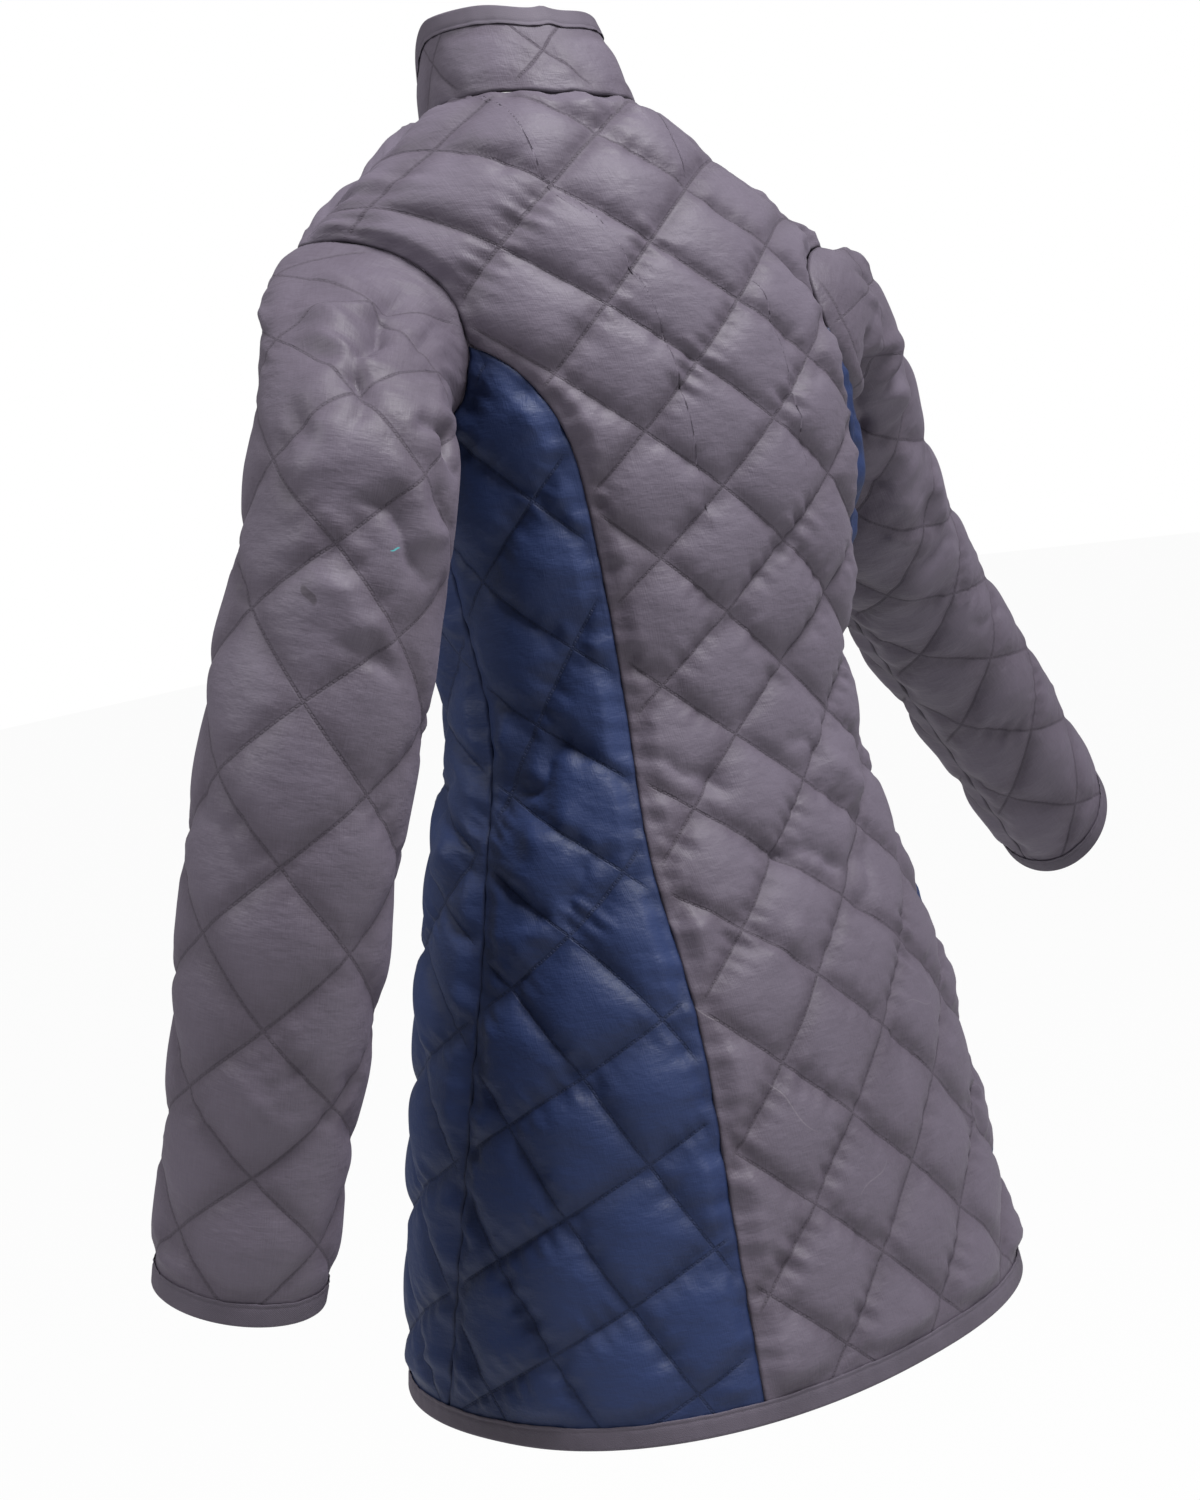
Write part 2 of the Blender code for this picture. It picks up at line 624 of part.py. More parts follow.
def hem_line(a, b):
    count = max(2, int(np.ceil((b - a) / STATION)) + 1)
    return np.stack([np.linspace(a, b, count), np.zeros(count)], -1)


def shoulder_seam(front):
    x = np.linspace(TIP_X, NECK_HALF, 6)
    s = ridge_s(x, front)
    return np.stack([s, column_top(s)], -1)


def neckline(front):
    # From the end of the shoulder seam to the centre back, or to the front edge
    side = ridge_s(NECK_HALF, front)
    if front:
        s = GIRTH_TOP - FRONT_CLEAR - (GIRTH_TOP - FRONT_CLEAR - side) * np.cos(np.linspace(0, np.pi / 2, 10))
    else:
        s = side * np.cos(np.linspace(0, np.pi / 2, 6))
    return np.stack([s, column_top(s)], -1)


SEAM_POINTS = 80        # on the curves before they get their mesh stations
back_curve, front_curve = princess(False, SEAM_POINTS), princess(True, SEAM_POINTS)
back_halves = split_at(armhole(False, 2 * SEAM_POINTS), back_curve[-1])
front_halves = split_at(armhole(True, 2 * SEAM_POINTS), front_curve[-1])
hole_back_low, hole_back_high = (stationed(line, STATION_HOLE) for line in back_halves)
hole_front_low, hole_front_high = (stationed(line, STATION_HOLE) for line in front_halves)
back_seams = {"L": stationed(back_curve), "R": stationed(princess(False, SEAM_POINTS, RIGHT_FARTHER))}
front_seam = stationed(front_curve)
side_t = np.linspace(0, T_UNDERARM, SEAM_POINTS)
side_seam = stationed(np.stack([seam_s(SIDE_SEAM, side_t), side_t], -1))
neck_back, neck_front = neckline(False), neckline(True)
opening_t = np.concatenate([
    [0.0], np.linspace(BAND, neck_front[-1, 1] - 0.004, int(neck_front[-1, 1] / STATION)), neck_front[-1:, 1],
])
opening = front_edge(opening_t)


def hems(side):
    # The hem of the back's half, the side back, the side front and the front
    ends = [0.0, back_seams[side][0, 0], side_seam[0, 0], front_seam[0, 0], opening[0, 0]]
    return [hem_line(a, b) for a, b in zip(ends[:-1], ends[1:])]


def joined(*lines):
    # One line from lines that follow each other, their shared ends kept once
    return np.concatenate([line[:-1] for line in lines[:-1]] + [lines[-1]])


def half_back(side):
    # From the centre back along the hem, up to the shoulder and back along the neckline
    return joined(hems(side)[0], back_seams[side], hole_back_high, shoulder_seam(False), neck_back)


def outlines(side):
    # Side back, side front and front, each closed
    hem = hems(side)
    return (joined(hem[1], side_seam, hole_back_low, back_seams[side][::-1])[:-1],
            joined(hem[2], front_seam, hole_front_low[::-1], side_seam[::-1])[:-1],
            joined(hem[3], opening, neck_front[::-1], shoulder_seam(True)[::-1], hole_front_high[::-1],
                   front_seam[::-1])[:-1])


def hem_band(hem, a, b, clear_a=BAND_END, clear_b=BAND_END):
    # The flat line over the hem tape, point for point above the hem's, between the seams a and b
    left = np.interp(BAND, a[:, 1], a[:, 0]) + clear_a
    right = np.interp(BAND, b[:, 1], b[:, 0]) - clear_b
    share = (hem[:, 0] - hem[0, 0]) / (hem[-1, 0] - hem[0, 0])
    return np.stack([left + (right - left) * share, np.full(len(hem), BAND)], -1)


def on_side(line, side):
    return mirrored(line) if side == "R" else line


def from_hem(st):
    return st[:, 1]


def from_front_or_hem(st):
    return np.minimum(st[:, 1], front_edge(st[:, 1])[:, 0] - np.abs(st[:, 0]))


def make_body():
    back = np.concatenate([half_back("L"), mirrored(half_back("R"))[1:-1]])
    hem = joined(mirrored(hems("R")[0]), hems("L")[0])
    band = hem_band(hem, back_seams["R"] * [-1.0, 1.0], back_seams["L"])
    quilted_panel("back", back, body_at, lattice_back, "grey sateen", from_hem, band)
    centre = opening[1:-1] - [BAND, 0]
    for side in "LR":
        side_back, side_front, front = outlines(side)
        hem = hems(side)
        band = hem_band(hem[1], back_seams[side], side_seam)
        quilted_panel(f"side_back_{side}", on_side(side_back, side), body_at, lattice_side, "navy sateen",
                      from_hem, on_side(band, side))
        band = hem_band(hem[2], side_seam, front_seam)
        quilted_panel(f"side_front_{side}", on_side(side_front, side), body_at, lattice_side, "navy sateen",
                      from_hem, on_side(band, side))
        band = joined(hem_band(hem[3], front_seam, centre, BAND_END, 0.0), centre)
        quilted_panel(f"front_{side}", on_side(front, side), body_at, lattice_front, "grey sateen",
                      from_front_or_hem, on_side(band, side))


def on_grid(grid, i, j):
    # Smooth look-up in a grid of points, i and j counted in its rows and columns
    rows, columns = grid.shape[:2]
    i, j = np.clip(i, 0, rows - 1), np.clip(j, 0, columns - 1)
    i0, j0 = np.minimum(i.astype(int), rows - 2), np.minimum(j.astype(int), columns - 2)
    u, v = i - i0, j - j0

    def weights(w):
        return [(-w + 2 * w**2 - w**3) / 2, (2 - 5 * w**2 + 3 * w**3) / 2, (w + 4 * w**2 - 3 * w**3) / 2,
                (-w**2 + w**3) / 2]

    padded = np.pad(grid, ((1, 1), (1, 1), (0, 0)), mode="edge")
    padded[0], padded[-1] = 2 * padded[1] - padded[2], 2 * padded[-2] - padded[-3]
    padded[:, 0], padded[:, -1] = 2 * padded[:, 1] - padded[:, 2], 2 * padded[:, -2] - padded[:, -3]
    wu, wv = weights(u), weights(v)
    return sum((wu[a] * wv[b])[:, None] * padded[i0 + a, j0 + b] for a in range(4) for b in range(4))


def loop_share(line, share):
    # Points at the given shares of the line's length
    length = arc(line)
    want = share * length[-1]
    return np.stack([np.interp(want, length, line[:, c]) for c in range(line.shape[1])], -1)


def start_clear(edge, normal, heading):
    # Where a piece starts beside an edge of the body, its own thickness clear of it. edge is a loop.
    along = unit(np.roll(edge, -1, 0) - np.roll(edge, 1, 0))
    inward = unit(np.cross(along, normal))
    inward *= np.where(((edge.mean(0) - edge) * inward).sum(-1, keepdims=True) < 0, -1.0, 1.0)
    sine = np.sqrt(np.clip(1 - (inward * unit(heading)).sum(-1, keepdims=True) ** 2, 0, 1))
    return edge + inward * (SEAM_GAP + JOIN_CLEAR + WALL * sine)


SLEEVE_COLUMNS, SLEEVE_ROWS, CAP_ROWS = 97, 41, 17
SLEEVE_STATION = 0.024
ARM_CLEAR = 0.017       # the sleeve's inner side keeps this far from the body's
JOIN_CLEAR = 0.0008     # more clear space where a piece stands out from the edge of another
CAP_DROP = 0.03         # the cap leaves the armhole a little downwards at the shoulder
CAP_HELD = [0.75, 0.5, 0.2, 0.0]    # share by which the cap's last rows are kept clear of the body
CUFF_TURN_FROM = 0.55   # share of the sleeve's length where its end starts to turn


def kept_clear(points, flip):
    # Sleeve points moved out of the body where they would come too near
    q = unstance(points * flip)
    half, front, back, middle = (through(SECTIONS[:, 0], SECTIONS[:, c], q[..., 2]) for c in (1, 2, 3, 4))
    x, y = q[..., 0], q[..., 1] - middle
    depth = np.where(y > 0, back, front)
    out = (np.abs(x / half) ** SQUARENESS + np.abs(y / depth) ** SQUARENESS) ** (1 / SQUARENESS)
    radius = np.hypot(x, y) / out
    clear = ARM_CLEAR * (1 - smooth(q[..., 2], Z_UNDERARM, Z_UNDERARM + 0.05))
    lack = 1 + clear / radius - out
    over = np.abs(lack - 0.6)
    lack = 0.5 * (lack + np.sqrt(lack**2 + 0.03**2)) - 0.5 * (np.sqrt(over**2 + 0.03**2) - over)
    grow = np.where(clear > 0, (out + np.maximum(lack, 0) * (clear > 0)) / out, 1.0)
    near = smooth(out, 1.8, 1.3)
    grow = 1 + (grow - 1) * near
    q = np.stack([x * grow, y * grow + middle, q[..., 2]], -1)
    return stance(q) * flip


def hole_stations():
    # Places of the armhole's points round the sleeve, from the underarm up the front and down the back
    front = np.concatenate([hole_front_low[:-1], hole_front_high])
    back = np.concatenate([hole_back_low[:-1], hole_back_high])
    share_front, share_back = arc(front), arc(back)
    return np.concatenate([-np.pi * (1 - share_front / share_front[-1]),
                           np.pi * (1 - share_back / share_back[-1])[::-1][1:]])


class Sleeve:
    def __init__(self, side):
        flip = np.array([-1.0, 1, 1]) if side == "R" else np.ones(3)
        table = SLEEVE_RIGHT if side == "R" else SLEEVE_LEFT
        along = np.concatenate([[0], np.cumsum(np.linalg.norm(np.diff(table[:, :3], axis=0), axis=1))])
        self.straight = along[-1]
        v = np.linspace(0, along[-1], SLEEVE_ROWS)
        middle = np.stack([through(along, table[:, k], v) for k in range(3)], -1)
        out_radius, deep_radius = through(along, table[:, 3], v), through(along, table[:, 4], v)
        down = unit(np.gradient(middle, v, axis=0))
        aim = np.array(OUTWARD[side])
        outwards = unit(aim - (down @ aim)[:, None] * down)
        backwards = np.cross(outwards, down)
        turn = np.radians(CUFF_TURN[side]) * smooth(v / v[-1], CUFF_TURN_FROM, 1.0)
        outwards = outwards * np.cos(turn)[:, None] + down * np.sin(turn)[:, None]
        self.psi = np.linspace(-np.pi, np.pi, SLEEVE_COLUMNS)
        cosine, sine = np.cos(self.psi), np.sin(self.psi)
        rings = (middle[None] + cosine[:, None, None] * out_radius[None, :, None] * outwards[None]
                 + sine[:, None, None] * deep_radius[None, :, None] * backwards[None])
        half = 0.5 * np.pi * (out_radius + deep_radius)
        # the armhole as a closed loop, from the underarm up the front, over the shoulder and down the back
        front = np.concatenate([hole_front_low[:-1], hole_front_high])
        back = np.concatenate([hole_back_low[:-1], hole_back_high])
        flat = np.concatenate([loop_share(front, 1 + self.psi[self.psi <= 0] / np.pi),
                               loop_share(back, 1 - self.psi[self.psi > 0] / np.pi)])
        signed = flat * [flip[0], 1.0]
        edge = body_at(signed) * flip
        normal = outward(body_at, signed, 1.0) * flip
        area = np.cross(edge[:-1] - edge.mean(0), edge[1:] - edge.mean(0)).sum(0)
        facing = unit(area) * np.sign(area[0])
        top = (1 + cosine[:, None]) / 2
        heading = facing * (CAP_OUT_TOP * top + CAP_OUT_LOW * (1 - top)) - np.array([0, 0, CAP_DROP]) * top
        start = start_clear(edge[:-1], normal[:-1], heading[:-1])
        start = np.concatenate([start, start[:1]])
        end = rings[:, 0]
        leave = down[0] * np.linalg.norm(end - start, axis=1, keepdims=True)
        w = np.linspace(1, 0, CAP_ROWS)[None, :, None]
        cap = ((2 * w**3 - 3 * w**2 + 1) * start[:, None] + (w**3 - 2 * w**2 + w) * heading[:, None]
               + (-2 * w**3 + 3 * w**2) * end[:, None] + (w**3 - w**2) * leave[:, None])
        whole = np.concatenate([rings[:, ::-1], cap[:, 1:]], 1)
        cleared = kept_clear(whole, flip)
        fixed = np.ones(whole.shape[1])
        fixed[-len(CAP_HELD):] = CAP_HELD
        whole = whole + (cleared - whole) * fixed[None, :, None]
        # even rows along each column of the cap
        cap = whole[:, SLEEVE_ROWS - 1:]
        length = arc(cap)
        self.cap_high = length[:, -1]
        even = np.stack([loop_share(column, np.linspace(0, 1, CAP_ROWS)) for column in cap])
        self.grid = np.concatenate([whole[:, :SLEEVE_ROWS - 1], even], 1) * flip
        self.half = half[::-1]
        self.turned = -flip[0]

    def half_at(self, y):
        return np.interp(y, np.linspace(0, self.straight, SLEEVE_ROWS), self.half)

    def top_at(self, psi):
        return self.straight + np.interp(psi, self.psi, self.cap_high)

    def at(self, st):
        psi = np.clip(np.pi * st[:, 0] / self.half_at(st[:, 1]), -np.pi, np.pi)
        low = st[:, 1] / self.straight * (SLEEVE_ROWS - 1)
        cap = (st[:, 1] - self.straight) / (self.top_at(psi) - self.straight)
        row = np.where(cap > 0, SLEEVE_ROWS - 1 + cap * (CAP_ROWS - 1), low)
        return on_grid(self.grid, (psi + np.pi) / (2 * np.pi) * (SLEEVE_COLUMNS - 1), row)

    def outline(self):
        cuff = np.linspace(-1, 1, 2 * int(np.ceil(self.half[0] / SLEEVE_STATION)) + 1)
        cuff = np.stack([cuff * self.half[0], np.zeros(len(cuff))], -1)
        y = np.linspace(0, self.top_at(np.pi), 60)
        seam = stationed(np.stack([self.half_at(y), y], -1))
        psi = hole_stations()[::-1]
        top = np.stack([psi / np.pi * self.half_at(np.array([9.0])), self.top_at(psi)], -1)
        return joined(cuff, seam, top, (seam * [-1.0, 1.0])[::-1])[:-1], cuff

    def fade(self, st):
        # the quilting is pressed flat where the sleeve lies against the body
        psi = np.pi * st[:, 0] / self.half_at(st[:, 1])
        near = smooth(np.abs(psi), 0.55 * np.pi, 0.8 * np.pi)
        return 1 - 0.75 * near * smooth(st[:, 1], self.straight - 0.16, self.straight - 0.04)


def make_sleeve(side):
    sleeve = Sleeve(side)
    outline, cuff = sleeve.outline()
    half = sleeve.half_at(BAND) - BAND_END
    band = np.stack([np.linspace(-half, half, len(cuff)), np.full(len(cuff), BAND)], -1)
    quilted_panel(f"sleeve_{side}", outline, sleeve.at, lattice_sleeve, "grey sateen", from_hem, band,
                  fade=sleeve.fade, turned=sleeve.turned, column_width=SLEEVE_STATION)
    around = cuff[:-1]
    edge = sleeve.at(around)
    folded_tape(f"cuff_binding_{side}", edge, unit(sleeve.at(around + [0, 0.01]) - edge),
                outward(sleeve.at, around, sleeve.turned), True)


class Collar:
    def __init__(self):
        # The neckline from the right front edge round the back to the left one, four steps to a mesh point
        behind, ahead = neck_back[::-1], neck_front
        fine = np.linspace(0, 1, 5)[:-1, None]
        steps = [np.concatenate([a + (b - a) * fine for a, b in zip(line[:-1], line[1:])] + [line[-1:]])
                 for line in (behind, ahead)]
        half = np.concatenate([steps[0], steps[1][1:]])
        flat = np.concatenate([mirrored(half)[:-1], half])
        sign = np.where(flat[:, 0] < 0, -1.0, 1.0)
        h = 0.003

        def place(ds, dt):
            p = body(np.abs(flat[:, 0]) + ds, flat[:, 1] + dt)
            p[:, 0] *= sign
            return p

        p = place(0, 0)
        normal = unit(np.cross(place(0, 0) - place(0, -h), place(h, 0) - place(-h, 0))) * sign[:, None]
        up = unit(np.array([0, COLLAR_BACK_TILT, 1.0]))
        inward = np.array([0, p[:, 1].mean(), p[:, 2].mean()]) - p
        inward -= (inward @ up)[:, None] * up
        heading = up + inward * COLLAR_LEAN / COLLAR_HIGH
        along = unit(np.gradient(p, axis=0))
        into_hole = unit(np.cross(along, normal))
        into_hole *= np.where((into_hole * inward).sum(-1, keepdims=True) < 0, -1.0, 1.0)
        sine = np.sqrt(np.clip(1 - (into_hole * unit(heading)).sum(-1, keepdims=True) ** 2, 0, 1))
        base = p + into_hole * (SEAM_GAP + WALL * sine)
        high = COLLAR_HIGH * (1 - COLLAR_FRONT_LOWER * smooth(-p[:, 1], 0.0, NECK_FRONT))
        rows = np.linspace(0, 1, COLLAR_ROWS)
        self.grid = stance(base[:, None] + heading[:, None] * (high[:, None] * rows[None])[..., None])
        self.length = arc(self.grid[:, 0])
        self.middle = 0.5 * self.length[-1]
        self.stations = self.length[::4] - self.middle
        self.high = high

    def at(self, st):
        place = np.interp(st[:, 0] + self.middle, self.length, np.arange(len(self.length)))
        high = np.interp(st[:, 0] + self.middle, self.length, self.high)
        return on_grid(self.grid, place, st[:, 1] / high * (COLLAR_ROWS - 1))

    def top(self, x):
        return np.interp(x + self.middle, self.length, self.high)

    def outline(self):
        x = self.stations
        up = np.array([0.0, 0.5, 1.0])
        base = np.stack([x, np.zeros(len(x))], -1)
        top = np.stack([x, self.top(x)], -1)
        left_end = np.stack([np.full(3, x[-1]), top[-1, 1] * up], -1)
        right_end = np.stack([np.full(3, x[0]), top[0, 1] * up[::-1]], -1)
        return joined(base, left_end, top[::-1], right_end)[:-1], top

    def below_top(self, st):
        return self.top(st[:, 0]) - st[:, 1]


def make_collar():
    collar = Collar()
    outline, top = collar.outline()
    band = top - [0, BAND]
    band[0, 0] += BAND_END
    band[-1, 0] -= BAND_END
    quilted_panel("collar", outline, collar.at, lattice_collar, "grey sateen", collar.below_top, band,
                  puff=COLLAR_PUFF, column_width=0.02)
    edge = collar.at(top)
    folded_tape("collar_binding", edge, unit(collar.at(top - [0, 0.01]) - edge),
                outward(collar.at, top - [0, 0.002], 1.0), False)


def make_tapes():
    hem = joined(mirrored(joined(*hems("R"))), joined(*hems("L")))
    edge = body_at(hem)
    folded_tape("hem_binding", edge, unit(body_at(hem + [0, 0.01]) - edge), outward(body_at, hem, 1.0), False)
    for side in "LR":
        line = on_side(opening[1:-1], side)
        sign = -1.0 if side == "R" else 1.0
        edge = body_at(line)
        folded_tape(f"front_binding_{side}", edge, unit(body_at(line - [sign * 0.01, 0]) - edge),
                    outward(body_at, line, 1.0), False)


def main():
    make_body()
    make_sleeve("L")
    make_sleeve("R")
    make_collar()
    make_tapes()


main()
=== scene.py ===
import bpy
import numpy as np
from mathutils import Matrix


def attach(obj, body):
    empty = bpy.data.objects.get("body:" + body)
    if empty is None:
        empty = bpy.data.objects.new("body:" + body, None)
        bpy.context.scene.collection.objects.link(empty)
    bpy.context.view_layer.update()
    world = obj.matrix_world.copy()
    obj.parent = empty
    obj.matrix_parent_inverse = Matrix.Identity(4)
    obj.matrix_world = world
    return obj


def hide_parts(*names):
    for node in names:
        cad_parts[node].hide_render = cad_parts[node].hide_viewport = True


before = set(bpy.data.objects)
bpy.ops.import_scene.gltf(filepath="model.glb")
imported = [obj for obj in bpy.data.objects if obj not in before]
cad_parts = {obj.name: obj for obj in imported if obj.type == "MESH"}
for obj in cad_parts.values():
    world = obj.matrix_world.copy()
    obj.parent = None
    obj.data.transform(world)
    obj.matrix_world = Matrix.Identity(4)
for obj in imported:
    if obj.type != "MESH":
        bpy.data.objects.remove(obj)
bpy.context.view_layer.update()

print("frame loaded:", len(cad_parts), "nodes")

# Lengths are in metres. s runs round the cloth from the centre back, positive on the wearer's left, and t up
# from the hem.

cloth = {
    "wall": 0.003,          # padded cloth at its seams
    "valley": 0.0078,       # how fast the puff rises beside a stitched line
    "rounding": 0.0013,     # round bottom of a stitched line
    "quilt": 0.0625,        # between parallel quilting lines
    "seamGap": 0.00015,     # each piece stops this far inside its seam
    "band": 0.014,          # flat under the tape
    "soft": 0.016,          # the puff fades over this much beside a seam
    "finest": 0.0026,       # between the points of a panel
    "collarFinest": 0.0022,
    "innerStep": 4,         # the plain inside keeps every fourth point
}
flips = {"L": np.ones(2), "R": np.array([-1.0, 1.0])}

# small maths


def hermiteWeights(u):
    # cubic weights of the start and its slope, 2u^3 - 3u^2 + 1 and u^3 - 2u^2 + u, then of the end and its
    # slope, 3u^2 - 2u^3 and u^3 - u^2
    return 2 * u**3 - 3 * u**2 + 1, u**3 - 2 * u**2 + u, -2 * u**3 + 3 * u**2, u**3 - u**2


def through(xs, ys, x):
    # cubic Hermite curve through a table, flat beyond its ends
    order = np.argsort(xs)
    xs, ys = xs[order], ys[order]
    slope = np.gradient(ys, xs)
    x = np.clip(x, xs[0], xs[-1])
    i = np.clip(np.searchsorted(xs, x, side="right") - 1, 0, len(xs) - 2)
    h = xs[i + 1] - xs[i]
    first, leaving, last, arriving = hermiteWeights((x - xs[i]) / h)
    start = first * ys[i] + leaving * h * slope[i]
    return start + last * ys[i + 1] + arriving * h * slope[i + 1]


def smooth(x, a, b):
    # 0 at a, 1 at b, 3u^2 - 2u^3 between
    u = np.clip((x - a) / (b - a), 0, 1)
    return u * u * (3 - 2 * u)


def unit(v):
    # each vector divided by its own length
    return v / np.maximum(np.linalg.norm(v, axis=-1, keepdims=True), 1e-12)


def arc(points):
    # length of the line up to each of its points, the lengths of its steps added up
    step = np.linalg.norm(np.diff(points, axis=-2), axis=-1)
    return np.concatenate([np.zeros(step.shape[:-1] + (1,)), np.cumsum(step, -1)], -1)


def onGrid(grid, i, j):
    # Catmull-Rom look-up in a grid of points, i and j counted in its rows and columns
    rows, columns = grid.shape[:2]
    i, j = np.clip(i, 0, rows - 1), np.clip(j, 0, columns - 1)
    i0, j0 = np.minimum(i.astype(int), rows - 2), np.minimum(j.astype(int), columns - 2)

    def weights(w):
        # of the four points round a place at the share w between the middle two
        return [(-w + 2 * w**2 - w**3) / 2, (2 - 5 * w**2 + 3 * w**3) / 2, (w + 4 * w**2 - 3 * w**3) / 2,
                (-w**2 + w**3) / 2]

    padded = np.pad(grid, ((1, 1), (1, 1), (0, 0)), mode="edge")
    padded[0], padded[-1] = 2 * padded[1] - padded[2], 2 * padded[-2] - padded[-3]
    padded[:, 0], padded[:, -1] = 2 * padded[:, 1] - padded[:, 2], 2 * padded[:, -2] - padded[:, -3]
    wu, wv = weights(i - i0), weights(j - j0)
    return sum((wu[a] * wv[b])[:, None] * padded[i0 + a, j0 + b] for a in range(4) for b in range(4))


def along(line, share):
    # the points that lie at shares of a line's length
    length = arc(line)
    return np.stack([np.interp(share * length[-1], length, line[:, c]) for c in range(line.shape[1])], -1)


def evenly(line, spacing):
    # the line again with points about that far apart
    return along(line, np.linspace(0, 1, max(2, int(np.ceil(arc(line)[-1] / spacing)) + 1)))


def waves(x, y, size, seed, count=9, stretch=1.0):
    # sum of sines in seeded random directions, about -1 to 1, for unevenness of one size
    rng = np.random.default_rng(seed)
    draws = zip(rng.uniform(0, np.pi, count), rng.uniform(0.7, 1.5, count), rng.uniform(0, 6.3, count))
    total = 0
    for angle, grow, phase in draws:
        way = x * np.cos(angle) * stretch + y * np.sin(angle)
        total = total + np.sin(2 * np.pi * way / (size * grow) + phase)
    return total / np.sqrt(count)


def wander(x, size, seed):
    # uneven wave along one line: the sum of five seeded sines from 0.6 to 1.9 times the size
    rng = np.random.default_rng(seed)
    grow, phase = rng.uniform(0.6, 1.9, 5), rng.uniform(0, 6.3, 5)
    return sum(np.sin(2 * np.pi * x / (size * g) + p) for g, p in zip(grow, phase)) / 2.2


# the coat's form, worked out from the same sizes as its solids

# height, half width, depth in front, depth behind, middle from front to back
sections = np.array([
    (-0.831, 0.211, 0.205, 0.167, 0.005),
    (-0.711, 0.197, 0.171, 0.155, 0.005),
    (-0.591, 0.180, 0.135, 0.145, 0.004),
    (-0.492, 0.155, 0.110, 0.124, 0.002),
    (-0.407, 0.133, 0.099, 0.110, 0.000),
    (-0.322, 0.139, 0.110, 0.114, -0.002),
    (-0.228, 0.148, 0.118, 0.120, -0.003),
    (-0.127, 0.148, 0.118, 0.120, -0.003),
])
squareness = 2.25
hemZ = sections[0, 0]
underarmZ = -0.228
underarmT = underarmZ - hemZ
underarmHalf = sections[6, 1]

# the ridge of the shoulders: distance from the middle, height
shoulders = np.array([
    (0.000, 0.007), (0.042, -0.006), (0.068, -0.026), (0.117, -0.064),
    (0.159, -0.096), (0.201, -0.127), (0.244, -0.156),
])
chest = {
    "ridgeY": 0.002,
    "widenBack": 0.30,      # how much wider the shoulders are than the underarm level
    "widenFront": 0.50,
    "roundBack": 0.92,      # powers of the rounded rise to the shoulders
    "roundFront": 1.05,
    "riseBack": 0.92,
    "riseFront": 0.82,
}
neck = {"half": 0.064, "back": 0.059, "front": 0.115}
lean = {
    "turn": 20.0,           # degrees that the chest turns against the skirt
    "turnFrom": -0.55,      # each change eases in between two heights
    "turnTo": -0.21,
    "shift": 0.028,         # the chest moves aside against the skirt, and the shoulders come back by a share
    "shiftFrom": -0.53,
    "shiftTo": -0.25,
    "shiftAlong": 0.7071,   # share of the shift along x and along y
    "comeBack": 0.9,
    "backFrom": -0.24,
    "backTo": -0.03,
    "tip": 0.06,            # rise for each metre towards the wearer's left
    "tipFrom": -0.48,
    "tipTo": -0.16,
    "shoulderTip": 0.09,
    "shoulderFrom": -0.25,
    "shoulderTo": -0.05,
    "rounds": 6,            # enough to turn the stance back
}

# seams as shares of the half girth: height, back princess, side, front princess
seamTable = np.array([
    (-0.831, 0.203, 0.570, 0.790),
    (-0.711, 0.209, 0.537, 0.785),
    (-0.591, 0.219, 0.508, 0.780),
    (-0.492, 0.238, 0.488, 0.775),
    (-0.407, 0.230, 0.473, 0.770),
    (-0.322, 0.214, 0.470, 0.765),
    (-0.228, 0.205, 0.470, 0.765),
    (-0.127, 0.205, 0.470, 0.765),
])
backSeamColumn, sideSeamColumn, frontSeamColumn = 1, 2, 3
hole = {
    "reachBack": 0.074,     # the armhole's width behind and in front of the underarm
    "reachFront": 0.080,
    "low": 0.078,           # height of its lower quarter round
    "tipX": 0.182,          # where the shoulder seam ends
    "seamTurn": -0.262,     # height at which the princess seams start to turn
    "seamMeets": 0.052,     # and how far over the underarm they meet the armhole
    "seamBend": 0.97,       # how sharply they turn into it
    "rightFarther": 0.046,  # the coat sits turned: its right back seam lies farther round than the left
    "frontClear": 0.0021,   # from the centre front to the opening's edge
}
bodyGrid = {"lowRows": 121, "highRows": 81, "columns": 241, "top": 0.93}

ringAngles = np.linspace(0, np.pi, 241)
columnRises = np.linspace(0, np.pi / 2, 97)


def sectionAt(z):
    # half width, depth in front, depth behind and middle at height z, by cubic curves through the table
    return [through(sections[:, 0], sections[:, c], z) for c in (1, 2, 3, 4)]


def ring(angle, z):
    # superellipse section: x = half |sin|^(2/n), y = middle + depth |cos|^(2/n), the depth differing in front
    # and behind
    half, front, back, middle = sectionAt(z)
    power = 2 / squareness
    sine, cosine = np.sin(angle), np.cos(angle)
    x = half * np.abs(sine) ** power
    return x, middle + np.where(cosine > 0, back, front) * np.sign(cosine) * np.abs(cosine) ** power


def column(angle, rise):
    # from the underarm level a rounded rise to the ridge of the shoulder: x widens by sin^2, y nears the
    # ridge by a power of cos, and z reaches the ridge's height by a power of sin
    x0, y0 = ring(angle, np.full_like(angle, underarmZ))
    behind = np.cos(angle) > 0
    widen = np.where(behind, chest["widenBack"], chest["widenFront"])
    x = x0 * (1 + widen * (x0 / underarmHalf) ** 2 * np.sin(rise) ** 2)
    curve = np.where(behind, chest["roundBack"], chest["roundFront"])
    y = chest["ridgeY"] + (y0 - chest["ridgeY"]) * np.maximum(np.cos(rise), 0) ** curve
    top = through(shoulders[:, 0], shoulders[:, 1], x)
    steep = np.where(behind, chest["riseBack"], chest["riseFront"])
    z = underarmZ + (top - underarmZ) * np.sin(rise) ** steep
    return x, y, z


def ringsAt(z):
    # for each height z the points of its half section, from the centre back to the centre front
    shape = (len(z), len(ringAngles))
    return np.stack(ring(np.broadcast_to(ringAngles, shape), np.broadcast_to(z[:, None], shape)), -1)


